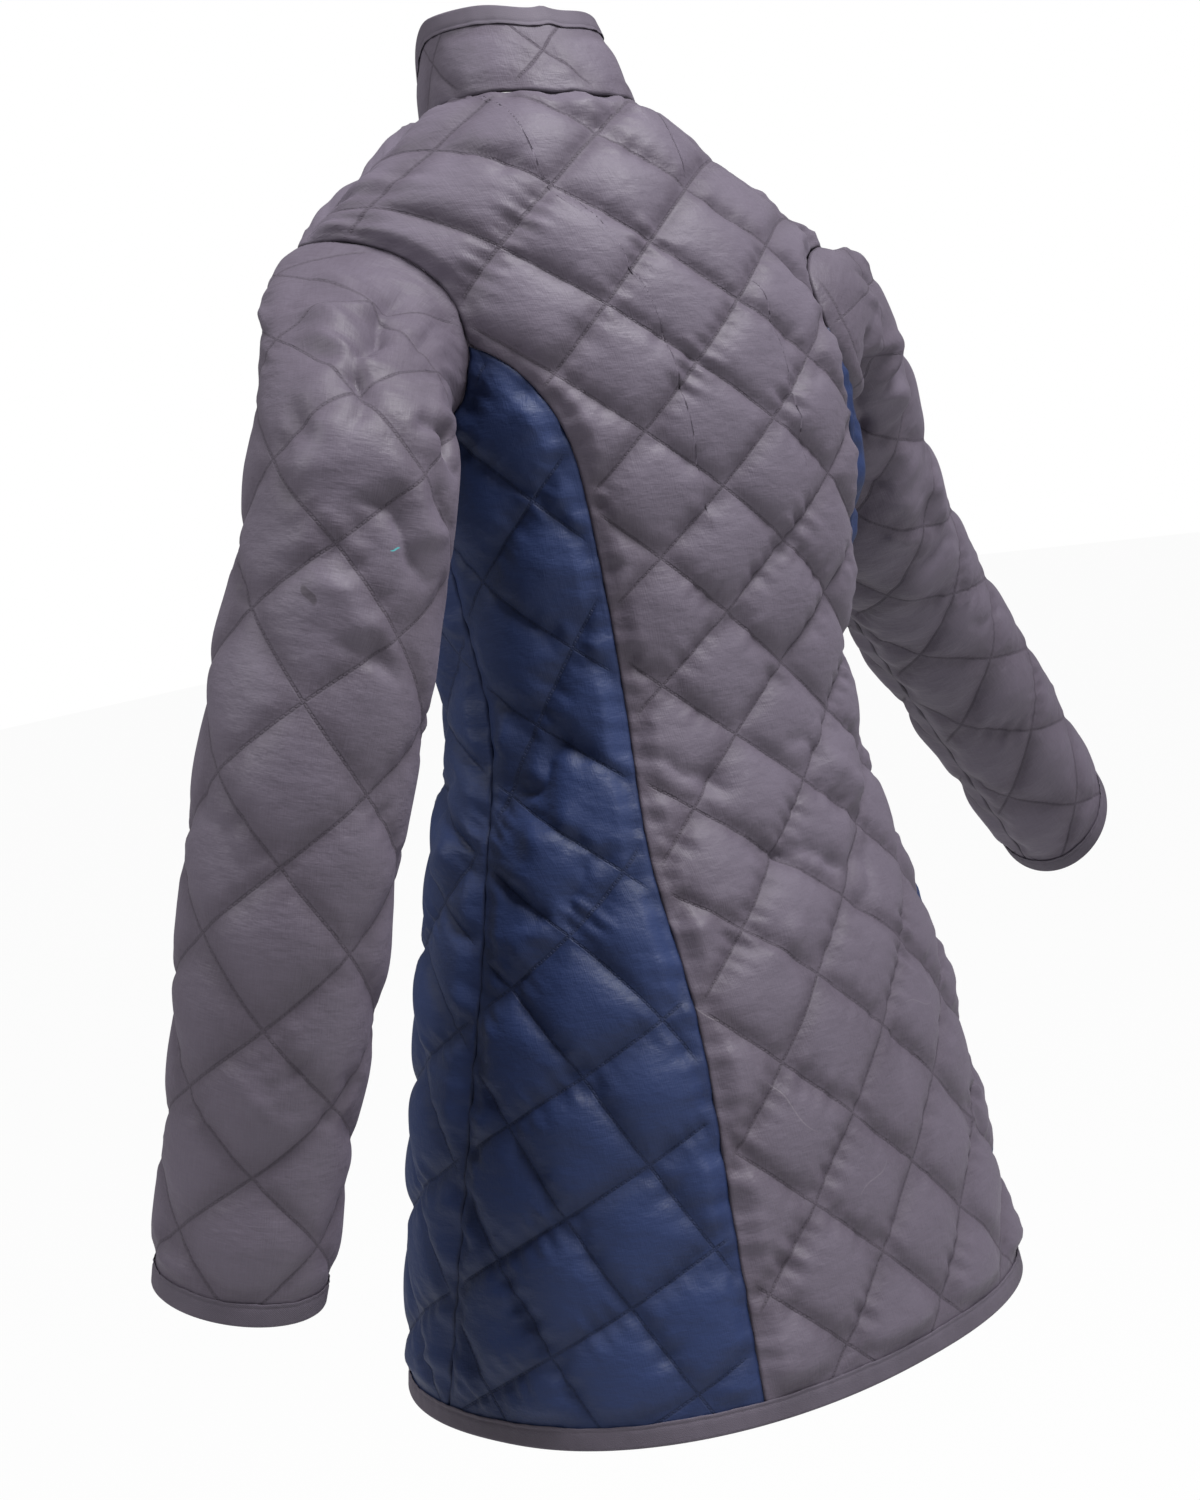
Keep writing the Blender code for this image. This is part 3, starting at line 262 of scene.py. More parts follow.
def halfGirth(z):
    # length of the half section at each height z
    return arc(ringsAt(np.atleast_1d(z)))[:, -1]


underarmRun = arc(ringsAt(np.array([underarmZ])))[0]
topGirth = underarmRun[-1]


def columnsAt(s):
    # for each s the angle of its column, the column's points, and t at each, which is the length up to it
    angle = np.interp(s, underarmRun, ringAngles)
    angles = np.broadcast_to(angle[:, None], (len(s), len(columnRises)))
    points = np.stack(column(angles, np.broadcast_to(columnRises, angles.shape)), -1)
    return angle, points, arc(points) + underarmT


def columnTop(s):
    # t at the ridge of the shoulder, or where the column first comes inside the neck's ellipse
    angle, points, length = columnsAt(s)
    depth = np.where(np.cos(angle) > 0, neck["back"], neck["front"])[:, None]
    inside = (points[..., 0] / neck["half"]) ** 2 + ((points[..., 1] - chest["ridgeY"]) / depth) ** 2 - 1
    hit = (inside < 0).any(1)
    k = np.where(hit, (inside < 0).argmax(1), len(columnRises) - 1)
    r = np.arange(len(s))
    before, after = inside[r, k - 1], inside[r, k]
    share = np.where(hit, before / np.where(np.abs(before - after) < 1e-9, 1, before - after), 1)
    return length[r, k - 1] + (length[r, k] - length[r, k - 1]) * np.clip(share, 0, 1)


def stance(p):
    # the chest turned by up to lean["turn"], shifted and tipped against the skirt, each by a smooth step of
    # height
    x, y, z = p[..., 0], p[..., 1], p[..., 2]
    turn = -np.radians(lean["turn"]) * smooth(z, lean["turnFrom"], lean["turnTo"])
    move = lean["shiftAlong"] * lean["shift"] * smooth(z, lean["shiftFrom"], lean["shiftTo"])
    move = move * (1 - lean["comeBack"] * smooth(z, lean["backFrom"], lean["backTo"]))
    low = lean["tip"] * smooth(z, lean["tipFrom"], lean["tipTo"])
    high = lean["shoulderTip"] * smooth(z, lean["shoulderFrom"], lean["shoulderTo"])
    aside = x * np.cos(turn) - y * np.sin(turn) - move
    behind = x * np.sin(turn) + y * np.cos(turn) + move
    return np.stack([aside, behind, z + x * (low + high)], -1)


def unstance(p):
    # the point whose stance is p, by rounds of q + p - stance(q)
    q = p.copy()
    for _ in range(lean["rounds"]):
        q = q + p - stance(q)
    return q


def makeBodyTable():
    # the left half as a grid: rows up the cloth, columns at equal shares of the half girth
    lowT = np.linspace(0, underarmT, bodyGrid["lowRows"])
    z = hemZ + lowT
    fine = ringsAt(z)
    length = arc(fine)
    share = np.linspace(0, 1, bodyGrid["columns"])
    low = np.stack([[np.interp(share * length[r, -1], length[r], fine[r, :, c]) for r in range(len(z))]
                    for c in (0, 1)], -1)
    low = np.concatenate([low, np.broadcast_to(z[:, None, None], low.shape[:2] + (1,))], -1)
    highT = np.linspace(underarmT, bodyGrid["top"], bodyGrid["highRows"])[1:]
    points, up = columnsAt(share * topGirth)[1:]
    last = unit(points[:, -1] - points[:, -4])
    high = np.stack([[np.interp(highT, up[c], points[c, :, k]) for c in range(len(share))]
                     for k in range(3)], -1)
    beyond = np.maximum(highT[None] - up[:, -1:], 0)
    high = high + beyond[..., None] * last[:, None]
    return np.concatenate([low, high.transpose(1, 0, 2)]), np.concatenate([lowT, highT]), len(highT)


bodyTable, bodyRows, straightRows = makeBodyTable()
lowGirths = halfGirth(hemZ + bodyRows[:bodyGrid["lowRows"]])
girthRows = np.concatenate([lowGirths, np.full(straightRows, topGirth)])


def bodyPlain(st):
    # the unturned body; s is negative on the wearer's right, where it is the left half mirrored
    row = np.interp(st[:, 1], bodyRows, np.arange(len(bodyRows)))
    share = np.abs(st[:, 0]) / np.interp(st[:, 1], bodyRows, girthRows)
    p = onGrid(bodyTable, row, share * (bodyGrid["columns"] - 1))
    p[:, 0] *= np.where(st[:, 0] < 0, -1.0, 1.0)
    return p


def bodyAt(st):
    # the place of s and t on the body as it is worn
    return stance(bodyPlain(st))


def seamS(which, t):
    # s of a seam at t: its share in the table times the half girth
    z = hemZ + np.minimum(t, underarmT)
    return through(seamTable[:, 0], seamTable[:, which], z) * halfGirth(z)


def ridgeS(x, front):
    # s of the column that ends at x on the ridge of the shoulder
    angle = np.linspace(0, np.pi / 2, 400)
    across = ring(angle, np.full(400, underarmZ))[0]
    widen = chest["widenFront"] if front else chest["widenBack"]
    found = np.interp(x, across * (1 + widen * (across / underarmHalf) ** 2), angle)
    return np.interp(np.pi - found if front else found, ringAngles, underarmRun)


underarmS = seamS(sideSeamColumn, np.array([underarmT]))[0]


def armhole(front, count=240):
    # a quarter ellipse from the underarm, then up to the end of the shoulder seam, easing aside by v^2
    reach = hole["reachFront"] if front else -hole["reachBack"]
    tipS = ridgeS(hole["tipX"], front)
    tipT = columnTop(np.array([tipS]))[0]
    a = np.linspace(0, np.pi / 2, count // 2)
    v = np.linspace(0, 1, count // 2 + 1)[1:]
    low = np.stack([underarmS + reach * np.sin(a), underarmT + hole["low"] * (1 - np.cos(a))], -1)
    wide, start = underarmS + reach, underarmT + hole["low"]
    return np.concatenate([low, np.stack([wide + (tipS - wide) * v**2, start + (tipT - start) * v], -1)])


def princess(front, farther=0.0, count=160):
    # up from the hem, below the bend farther round, then bending to the armhole by a part of a circle,
    # (1 - sqrt(1 - u^2)) / (1 - sqrt(1 - seamBend^2))
    meetT = underarmT + hole["seamMeets"]
    edge = armhole(front, 400)
    meetS = np.interp(meetT, edge[:, 1], edge[:, 0])
    turnT = hole["seamTurn"] - hemZ
    t = np.linspace(0, meetT, count)
    lowS = seamS(frontSeamColumn if front else backSeamColumn, np.minimum(t, turnT)) + farther
    u = hole["seamBend"] * np.clip((t - turnT) / (meetT - turnT), 0, 1)
    bend = (1 - np.sqrt(1 - u**2)) / (1 - np.sqrt(1 - hole["seamBend"] ** 2))
    return np.stack([lowS + (meetS - lowS) * bend, t], -1)


def frontEdge(t):
    # the opening at each t: s is the half girth less the clearance
    return np.stack([halfGirth(hemZ + np.minimum(t, underarmT)) - hole["frontClear"], t], -1)


def mirrored(line):
    # s turned to -s, and the line's order turned round
    return (line * [-1.0, 1.0])[::-1]


def shoulderSeam(front):
    # along the ridge from the armhole to the neck
    x = np.linspace(hole["tipX"], neck["half"], 24)
    s = ridgeS(x, front)
    return np.stack([s, columnTop(s)], -1)


def neckline(front):
    # from the shoulder seam to the middle, s nearing it by a cosine
    side = ridgeS(neck["half"], front)
    a = np.linspace(0, np.pi / 2, 28)
    end = topGirth - hole["frontClear"] if front else 0.0
    s = end + (side - end) * np.cos(a)
    return np.stack([s, columnTop(s)], -1)


backSeam, frontSeam = princess(False), princess(True)
backSeams = {"L": backSeam, "R": princess(False, hole["rightFarther"])}
sideT = np.linspace(0, underarmT, 120)
sideSeam = np.stack([seamS(sideSeamColumn, sideT), sideT], -1)


def splitAt(line, point):
    # the line in two where it is nearest to the point, which both parts then end at
    k = int(((line - point) ** 2).sum(1).argmin())
    first, second = line[:k + 1].copy(), line[k:].copy()
    first[-1] = second[0] = point
    return first, second


holeBackLow, holeBackHigh = splitAt(armhole(False), backSeam[-1])
holeFrontLow, holeFrontHigh = splitAt(armhole(True), frontSeam[-1])
neckBack, neckFront = neckline(False), neckline(True)
opening = frontEdge(np.linspace(0, neckFront[-1, 1], 200))


def hemLine(a, b):
    # straight along the hem from s = a to s = b
    return np.stack([np.linspace(a, b, 60), np.zeros(60)], -1)


# quilting

# t, and the height in the flat cloth: the cloth takes up less height than its own length
gather = np.array([(0.0, 0.0), (0.254, 0.254), (0.85, 0.941)])
lattice = {
    "start": 0.0735,            # t of the lowest crossing on the centre back
    "drift": 0.022,             # the back's crossings lie this far aside below the waist
    "driftFrom": 0.40,
    "driftTo": 0.58,
    "sideLean": 20.0,           # degrees that the side panels' lines turn towards the hem
    "leanFrom": 0.22,
    "leanTo": 0.52,
    "sideCrossing": (0.163, 0.165),
    "sleeveStart": 0.045,
    "collarStart": 0.0305,
}


def diagonals(s, t):
    # lattice numbers (t + s) and (t - s) over the square's diagonal: whole on the stitched lines, one unit
    # apart
    return np.stack([t + s, t - s], -1) / (np.sqrt(2) * cloth["quilt"])


def gathered(t):
    # height in the flat cloth, over the lowest crossing
    return np.interp(t, gather[:, 0], gather[:, 1]) - lattice["start"]


def quiltBack(st):
    # diagonals of the gathered height, drifting aside below the waist
    aside = lattice["drift"] * (1 - smooth(st[:, 1], lattice["driftFrom"], lattice["driftTo"]))
    return diagonals(st[:, 0] - aside, gathered(st[:, 1]))


def quiltSide(st):
    # diagonals of s and t turned by the lean about their crossing
    turn = np.radians(lattice["sideLean"]) * (1 - smooth(st[:, 1], lattice["leanFrom"], lattice["leanTo"]))
    s, t = np.abs(st[:, 0]) - lattice["sideCrossing"][0], st[:, 1] - lattice["sideCrossing"][1]
    return diagonals(s * np.cos(turn) + t * np.sin(turn), t * np.cos(turn) - s * np.sin(turn))


def quiltFront(st):
    # the back's diagonals, measured from the centre front
    return diagonals(np.abs(st[:, 0]) - topGirth, gathered(st[:, 1]))


def quiltSleeve(st):
    # diagonals from the middle of the sleeve's outer side
    return diagonals(st[:, 0], st[:, 1] - lattice["sleeveStart"])


def quiltCollar(st):
    # diagonals from the centre back, a crossing at half the collar's height
    return diagonals(st[:, 0], st[:, 1] - lattice["collarStart"])


def pillow(ab):
    # rises from each stitched line as 1 - exp(-distance / valley), rounded at the bottom, for both directions
    away = np.abs(ab - np.round(ab)) * cloth["quilt"]
    away = np.sqrt(away**2 + cloth["rounding"]**2) - cloth["rounding"]
    up = 1 - np.exp(-away / cloth["valley"])
    full = 1 - np.exp(-0.5 * cloth["quilt"] / cloth["valley"])
    return up[..., 0] * up[..., 1] / full**2


pucker = {
    "away": 0.005,          # strongest this far from the stitched line
    "wide": 0.008,
    "run": 0.017,           # length of one along the line
    "patch": 0.11,          # stretches of line that have more or fewer
    "shift": 0.37,          # so that no two lines have the same
}


def puckers(ab, seed):
    # small gathers square to the stitched lines: exp(-((distance - away) / wide)^2) times a wave along the
    # line
    away = np.abs(ab - np.round(ab)) * cloth["quilt"]
    line = np.round(ab)
    total = 0
    for k in (0, 1):
        run = ab[..., 1 - k] * cloth["quilt"] + pucker["shift"] * line[..., k]
        size = 0.5 + 0.5 * wander(run, pucker["patch"], seed + 5 + k)
        near = np.exp(-((away[..., k] - pucker["away"]) / pucker["wide"]) ** 2)
        total = total + near * wander(run, pucker["run"], seed + k) * np.clip(size, 0, 1)
    return total


# meshes


def gridBetween(bottom, top, left, right, spacing):
    # Coons patch in s and t between four edges, each given from its start to its end: the two ruled sheets
    # added, less the bilinear sheet of the corners
    wide = max(arc(bottom)[-1], arc(top)[-1])
    tall = max(arc(left)[-1], arc(right)[-1])
    step = cloth["innerStep"]
    u, v = (np.linspace(0, 1, step * int(np.ceil(x / spacing / step)) + 1) for x in (wide, tall))
    low, high, first, last = along(bottom, u), along(top, u), along(left, v), along(right, v)
    x, y = u[None, :, None], v[:, None, None]
    corners = (1 - x) * (1 - y) * low[0] + x * (1 - y) * low[-1] + (1 - x) * y * high[0] + x * y * high[-1]
    st = (1 - y) * low[None] + y * high[None] + (1 - x) * first[:, None] + x * last[:, None] - corners
    for edge, inside in ((st[0], st[1]), (st[-1], st[-2]), (st[:, 0], st[:, 1]), (st[:, -1], st[:, -2])):
        edge += cloth["seamGap"] * unit(inside - edge)
    return st


def facing(surface, st, turned):
    # outward normal from central differences over h on each side
    h = 0.0015
    st = np.stack([st[:, 0], np.maximum(st[:, 1], h)], -1)
    up = surface(st + [0, h]) - surface(st - [0, h])
    across = surface(st + [h, 0]) - surface(st - [h, 0])
    return unit(np.cross(up, across)) * turned


def nearest(points, line):
    # distance to a line, and how far along it, in batches of points to keep the arrays small
    a, b = line[:-1], line[1:]
    ab = b - a
    start = arc(line)[:-1]
    distance, run = np.empty(len(points)), np.empty(len(points))
    batch = 20000
    for first in range(0, len(points), batch):
        p = points[first:first + batch, None]
        share = np.clip(((p - a) * ab).sum(-1) / np.maximum((ab**2).sum(-1), 1e-12), 0, 1)
        d = np.linalg.norm(p - a - share[..., None] * ab, axis=-1)
        k = d.argmin(1)
        r = np.arange(len(k))
        distance[first:first + batch] = d[r, k]
        run[first:first + batch] = start[k] + share[r, k] * np.linalg.norm(ab, axis=-1)[k]
    return distance, run


def addMesh(name, points, faces, material, layers, numbers):
    # a piece from points and faces, with UV maps from layers and point attributes from numbers
    mesh = bpy.data.meshes.new(name)
    mesh.from_pydata(points.tolist(), [], faces)
    mesh.shade_smooth()
    corner = np.empty(len(mesh.loops), np.int32)
    mesh.loops.foreach_get("vertex_index", corner)
    for key, values in layers.items():
        mesh.uv_layers.new(name=key).data.foreach_set("uv", values[corner].astype(np.float32).ravel())
    for key, values in numbers.items():
        mesh.attributes.new(key, "FLOAT", "POINT").data.foreach_set("value", values.astype(np.float32))
    mesh.materials.append(material)
    mesh.update()
    piece = bpy.data.objects.new(name, mesh)
    bpy.context.scene.collection.objects.link(piece)
    return piece


def shellFaces(nv, nu, step):
    # outer grid, inner grid of every step-th point, and a rim of polygons between them
    index = np.arange(nv * nu).reshape(nv, nu)
    outer = np.stack([index[:-1, :-1], index[:-1, 1:], index[1:, 1:], index[1:, :-1]], -1).reshape(-1, 4)
    rows, columns = (nv - 1) // step + 1, (nu - 1) // step + 1
    coarse = np.arange(rows * columns).reshape(rows, columns) + nv * nu
    inner = np.stack([coarse[:-1, :-1], coarse[1:, :-1], coarse[1:, 1:], coarse[:-1, 1:]], -1).reshape(-1, 4)
    rim = []
    for fine, wide, flip in ((index[0], coarse[0], False), (index[-1], coarse[-1], True),
                             (index[:, 0], coarse[:, 0], True), (index[:, -1], coarse[:, -1], False)):
        parts = [fine[k:len(fine) - step + k:step] for k in range(step)]
        band = np.stack(parts + [fine[step::step], wide[1:], wide[:-1]], -1)
        rim += (band if flip else band[:, ::-1]).tolist()
    return outer.tolist() + inner.tolist() + rim


beside = {                      # distances from a piece's own edge
    "puffFrom": 0.001,
    "puckerFull": 0.012,
    "foldFull": 0.014,
    "crumpleFull": 0.03,
    "crumple": 0.055,           # size of the uneven waves all over
    "roll": 0.0030,             # the edge rolls down over this much
    "gather": 0.007,            # gathers of the seam are strongest here
    "gatherWide": 0.011,
    "gatherRun": 0.021,
    "bandFrom": 0.001,          # under the edge of the tape's flat band, and over it
    "bandTo": 0.012,
}


def quiltedPiece(name, node, st, surface, quilt, edges, look, material, bound, turned, shape):
    # outer points = surface + normal * (wall + quilting + gathers + folds), inner points = surface + normal *
    # folds
    nv, nu = st.shape[:2]
    flat = st.reshape(-1, 2)
    base, normal = surface(flat), facing(surface, flat, turned)
    ab = quilt(flat)
    away, run = nearest(flat, edges)
    seed, step = look["seed"], cloth["innerStep"]
    rise = look["puff"] * pillow(ab) * smooth(away, beside["puffFrom"], cloth["soft"])
    small = look["pucker"] * puckers(ab, seed) * smooth(away, 0.0, beside["puckerFull"])
    near = np.exp(-((away - beside["gather"]) / beside["gatherWide"]) ** 2)
    seam = look["seamPucker"] * near * wander(run, beside["gatherRun"], seed + 31)
    crumple = look["crumple"] * waves(flat[:, 0], flat[:, 1], beside["crumple"], seed + 9, stretch=0.8)
    roll = -look["roll"] * np.clip(1 - away / beside["roll"], 0, 1) ** 2
    held = smooth(bound(flat), cloth["band"] - beside["bandFrom"], cloth["band"] + beside["bandTo"])
    fade = held if shape is None else held * shape(flat)
    bend = foldsOn(node, flat) * smooth(away, 0.0, beside["foldFull"]) * held
    padding = (rise + small + crumple * smooth(away, 0, beside["crumpleFull"])) * fade
    lift = cloth["wall"] + roll + padding + seam * np.minimum(fade, 1.0)
    outer = base + normal * (lift + bend)[:, None]
    pick = np.arange(nv * nu).reshape(nv, nu)[::step, ::step].ravel()
    inner = base[pick] + normal[pick] * np.minimum(bend[pick], 0.0)[:, None]
    faces = shellFaces(nv, nu, step)
    grid = outer.reshape(nv, nu, 3)
    across, up = grid[:-1, 1:] - grid[:-1, :-1], grid[1:, :-1] - grid[:-1, :-1]
    if (np.cross(across, up) * normal.reshape(nv, nu, 3)[:-1, :-1]).sum() < 0:
        faces = [face[::-1] for face in faces]      # s runs the other way, so the faces would point inwards
    every = np.concatenate([np.arange(nv * nu), pick])
    piece = addMesh(name, np.concatenate([outer, inner]), faces, material,
                    {"cloth": flat[every], "quilt": ab[every]},
                    {"edge": away[every], "puffed": (pillow(ab) * fade)[every]})
    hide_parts(node)
    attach(piece, "root")
    return piece


# the main folds, a trough where the height is below 0: solid's name, s and t of the start, s and t of the
# end, half width, height
folds = [
    ("sleeve_L", 0.036, 0.668, 0.029, 0.515, 0.011, 0.0085),
    ("sleeve_L", 0.055, 0.668, 0.042, 0.495, 0.007, -0.0095),
    ("sleeve_L", 0.030, 0.540, 0.028, 0.430, 0.015, 0.0060),
    ("sleeve_L", 0.082, 0.524, 0.126, 0.492, 0.007, -0.0105),
    ("sleeve_L", 0.075, 0.552, 0.122, 0.520, 0.010, 0.0035),
    ("sleeve_L", 0.060, 0.496, 0.116, 0.448, 0.009, 0.0055),
    ("sleeve_L", 0.050, 0.473, 0.106, 0.428, 0.007, -0.0060),
    ("sleeve_L", -0.060, 0.385, -0.120, 0.350, 0.011, -0.0070),
    ("sleeve_L", -0.050, 0.350, -0.115, 0.320, 0.011, 0.0055),
    ("sleeve_R", 0.090, 0.625, 0.118, 0.545, 0.009, -0.0110),
    ("sleeve_R", 0.118, 0.550, 0.104, 0.492, 0.008, -0.0085),
    ("sleeve_R", 0.074, 0.610, 0.090, 0.500, 0.012, 0.0080),
    ("sleeve_R", 0.086, 0.500, 0.116, 0.330, 0.012, 0.0050),
    ("sleeve_R", -0.055, 0.360, -0.115, 0.330, 0.011, -0.0070),
    ("sleeve_R", -0.050, 0.325, -0.110, 0.300, 0.011, 0.0055),
    ("back", 0.086, 0.400, 0.030, 0.372, 0.009, -0.0060),
    ("back", 0.050, 0.338, -0.060, 0.300, 0.010, -0.0060),
    ("back", -0.040, 0.400, -0.075, 0.335, 0.010, 0.0050),
    ("side_back_L", 0.115, 0.425, 0.190, 0.372, 0.010, -0.0070),
    ("side_back_L", 0.125, 0.385, 0.195, 0.335, 0.010, 0.0055),
    ("side_back_R", -0.135, 0.420, -0.190, 0.380, 0.010, -0.0060),
    ("side_front_L", 0.215, 0.400, 0.270, 0.380, 0.010, -0.0060),
    ("side_front_R", -0.215, 0.405, -0.270, 0.378, 0.010, -0.0060),
    ("front_L", 0.330, 0.405, 0.385, 0.370, 0.010, -0.0055),
    ("front_R", -0.330, 0.395, -0.385, 0.365, 0.010, -0.0055),
    # gathers along the caps
    ("sleeve_L", 0.068, 0.660, 0.066, 0.575, 0.0060, 0.0018),
    ("sleeve_L", 0.084, 0.645, 0.078, 0.560, 0.0055, 0.0016),
    ("sleeve_L", 0.097, 0.615, 0.088, 0.545, 0.0055, 0.0016),
    ("sleeve_L", 0.076, 0.655, 0.072, 0.570, 0.0045, -0.0018),
    ("sleeve_L", 0.108, 0.582, 0.098, 0.535, 0.0050, 0.0012),
    ("sleeve_L", 0.015, 0.665, 0.012, 0.590, 0.0060, -0.0018),
    ("sleeve_L", -0.012, 0.655, -0.016, 0.590, 0.0070, 0.0034),
    ("sleeve_L", -0.042, 0.645, -0.040, 0.585, 0.0060, -0.0034),
    ("sleeve_L", -0.066, 0.630, -0.062, 0.570, 0.0070, 0.0036),
    ("sleeve_L", -0.092, 0.590, -0.082, 0.540, 0.0060, -0.0030),
    ("sleeve_R", 0.060, 0.650, 0.056, 0.590, 0.0060, 0.0032),
    ("sleeve_R", 0.042, 0.655, 0.038, 0.600, 0.0055, -0.0028),
    ("sleeve_R", 0.010, 0.658, 0.008, 0.600, 0.0070, 0.0034),
    ("sleeve_R", -0.030, 0.650, -0.030, 0.585, 0.0060, -0.0032),
    ("sleeve_R", -0.060, 0.632, -0.056, 0.575, 0.0070, 0.0036),
    ("sleeve_R", -0.090, 0.590, -0.080, 0.545, 0.0060, -0.0028),
    # drags and creases lower on the sleeves
    ("sleeve_L", 0.096, 0.484, 0.126, 0.455, 0.0060, -0.0030),
    ("sleeve_L", 0.030, 0.430, 0.078, 0.395, 0.0080, 0.0032),
    ("sleeve_L", 0.040, 0.400, 0.095, 0.372, 0.0070, -0.0034),
    ("sleeve_L", -0.030, 0.420, 0.020, 0.400, 0.0080, -0.0028),
    ("sleeve_L", -0.020, 0.300, 0.030, 0.262, 0.0080, -0.0026),
    ("sleeve_L", 0.020, 0.150, 0.075, 0.120, 0.0075, 0.0024),
    ("sleeve_L", -0.080, 0.150, -0.030, 0.110, 0.0080, -0.0026),
    ("sleeve_R", 0.132, 0.480, 0.108, 0.450, 0.0070, -0.0050),
    ("sleeve_R", 0.128, 0.440, 0.095, 0.400, 0.0080, 0.0036),
    ("sleeve_R", 0.110, 0.380, 0.060, 0.350, 0.0080, -0.0034),
    ("sleeve_R", 0.060, 0.470, 0.070, 0.340, 0.0090, 0.0030),
    ("sleeve_R", 0.020, 0.330, -0.040, 0.300, 0.0080, -0.0030),
    ("sleeve_R", 0.095, 0.270, 0.045, 0.230, 0.0080, -0.0030),
    ("sleeve_R", -0.070, 0.190, -0.020, 0.150, 0.0080, 0.0026),
    # small folds of the waist, under the bend of the back seam, and of the hips
    ("back", 0.108, 0.640, 0.085, 0.622, 0.0050, 0.0024),
    ("back", 0.104, 0.628, 0.082, 0.606, 0.0045, -0.0026),
    ("back", -0.104, 0.632, -0.082, 0.612, 0.0050, -0.0024),
    ("back", 0.110, 0.372, 0.072, 0.352, 0.0070, -0.0036),
    ("back", 0.062, 0.312, 0.104, 0.288, 0.0075, 0.0034),
    ("back", -0.010, 0.395, -0.048, 0.378, 0.0070, -0.0036),
    ("back", -0.070, 0.318, -0.030, 0.268, 0.0080, -0.0034),
    ("back", 0.020, 0.285, 0.070, 0.262, 0.0080, 0.0030),
    ("back", -0.085, 0.395, -0.110, 0.350, 0.0070, -0.0036),
    ("side_back_L", 0.130, 0.352, 0.172, 0.312, 0.0070, -0.0040),
    ("side_back_L", 0.150, 0.440, 0.200, 0.405, 0.0070, 0.0034),
    ("side_back_L", 0.170, 0.325, 0.205, 0.285, 0.0080, 0.0030),
    ("side_back_R", -0.150, 0.385, -0.195, 0.340, 0.0080, 0.0040),
    ("side_front_L", 0.225, 0.370, 0.275, 0.335, 0.0080, 0.0040),
    ("side_front_R", -0.225, 0.372, -0.275, 0.340, 0.0080, 0.0038),
    ("front_L", 0.325, 0.370, 0.390, 0.340, 0.0080, 0.0036),
    ("front_L", 0.320, 0.560, 0.365, 0.520, 0.0080, -0.0032),
    ("front_R", -0.328, 0.362, -0.388, 0.335, 0.0080, 0.0036),
    ("front_R", -0.322, 0.555, -0.362, 0.512, 0.0080, -0.0032),
]


foldForm = {
    "sway": 0.5,            # of the half width
    "swayRun": 0.045,
    "floor": 0.25,          # rounding of a trough's floor, of the half width
    "steep": 1.6,
    "taper": 0.75,          # power of the ends' sine
    "uneven": 0.25,
    "unevenRun": 0.03,
}


def foldsOn(node, st):
    # sum of height * exp(-(distance / half width)^2) * sin(pi * share)^taper; each run sways by a wave along
    # it, and a trough has the narrower floor exp(-steep * distance / half width)
    total = np.zeros(len(st))
    for order, (piece, s0, t0, s1, t1, wide, high) in enumerate(folds):
        if piece != node:
            continue
        start, run = np.array([s0, t0]), np.array([s1 - s0, t1 - t0])
        length = np.hypot(*run)
        ahead = run / length
        share = ((st - start) @ ahead) / length
        held = np.clip(share, 0, 1)
        aside = (st - start) @ np.array([-ahead[1], ahead[0]])
        sway = foldForm["sway"] * wide * wander(held * length, foldForm["swayRun"], 200 + order)
        away = np.hypot(aside - sway, (share - held) * length)
        ridge = np.exp(-(away / wide) ** 2)
        floor = foldForm["floor"] * wide
        trough = np.exp(-foldForm["steep"] * (np.sqrt(away**2 + floor**2) - floor) / wide)
        uneven = 1 + foldForm["uneven"] * wander(held * length, foldForm["unevenRun"], 300 + order)
        total += high * (ridge if high > 0 else trough) * (np.sin(np.pi * held) ** foldForm["taper"] * uneven)
    return total


# sleeves

sleeveCut = {
    "outTop": 0.115,        # how far the cap leads out of the armhole at its top and low down
    "outLow": 0.075,
    "topDrop": 0.03,
    "startClear": 0.0001,
    "armClear": 0.017,      # least distance of a sleeve from the body's section
    "clearOver": 0.05,      # which ends this far over the underarm level
    "ease": 0.03,           # softness of the push outwards, and the most that it can be
    "mostPush": 0.6,
    "columns": 97,
    "rows": 41,
    "capRows": 17,
    "capFlat": 0.6,         # flatter quilting on the cap
    "sideFlat": 0.75,       # and where the sleeve lies against the body
    "cuffTurn": {"L": 2.0, "R": -27.0},
    "outward": {"L": (1.0, 0.0, 0.35), "R": (1.0, 0.3, 0.6)},
}

# middle x, y, z, radius outwards, radius front to back, as for the wearer's left
sleeveTable = {
    "L": np.array([
        (0.237, 0.050, -0.226, 0.053, 0.061),
        (0.253, 0.044, -0.281, 0.055, 0.061),
        (0.286, 0.027, -0.377, 0.056, 0.061),
        (0.314, 0.002, -0.497, 0.053, 0.058),
        (0.333, -0.033, -0.620, 0.048, 0.052),
        (0.346, -0.053, -0.693, 0.046, 0.051),
    ]),
    "R": np.array([
        (0.225, 0.013, -0.207, 0.055, 0.060),
        (0.300, -0.030, -0.304, 0.054, 0.059),
        (0.375, -0.061, -0.375, 0.051, 0.058),
        (0.464, -0.080, -0.473, 0.048, 0.055),
        (0.563, -0.093, -0.600, 0.046, 0.053),
    ]),
}


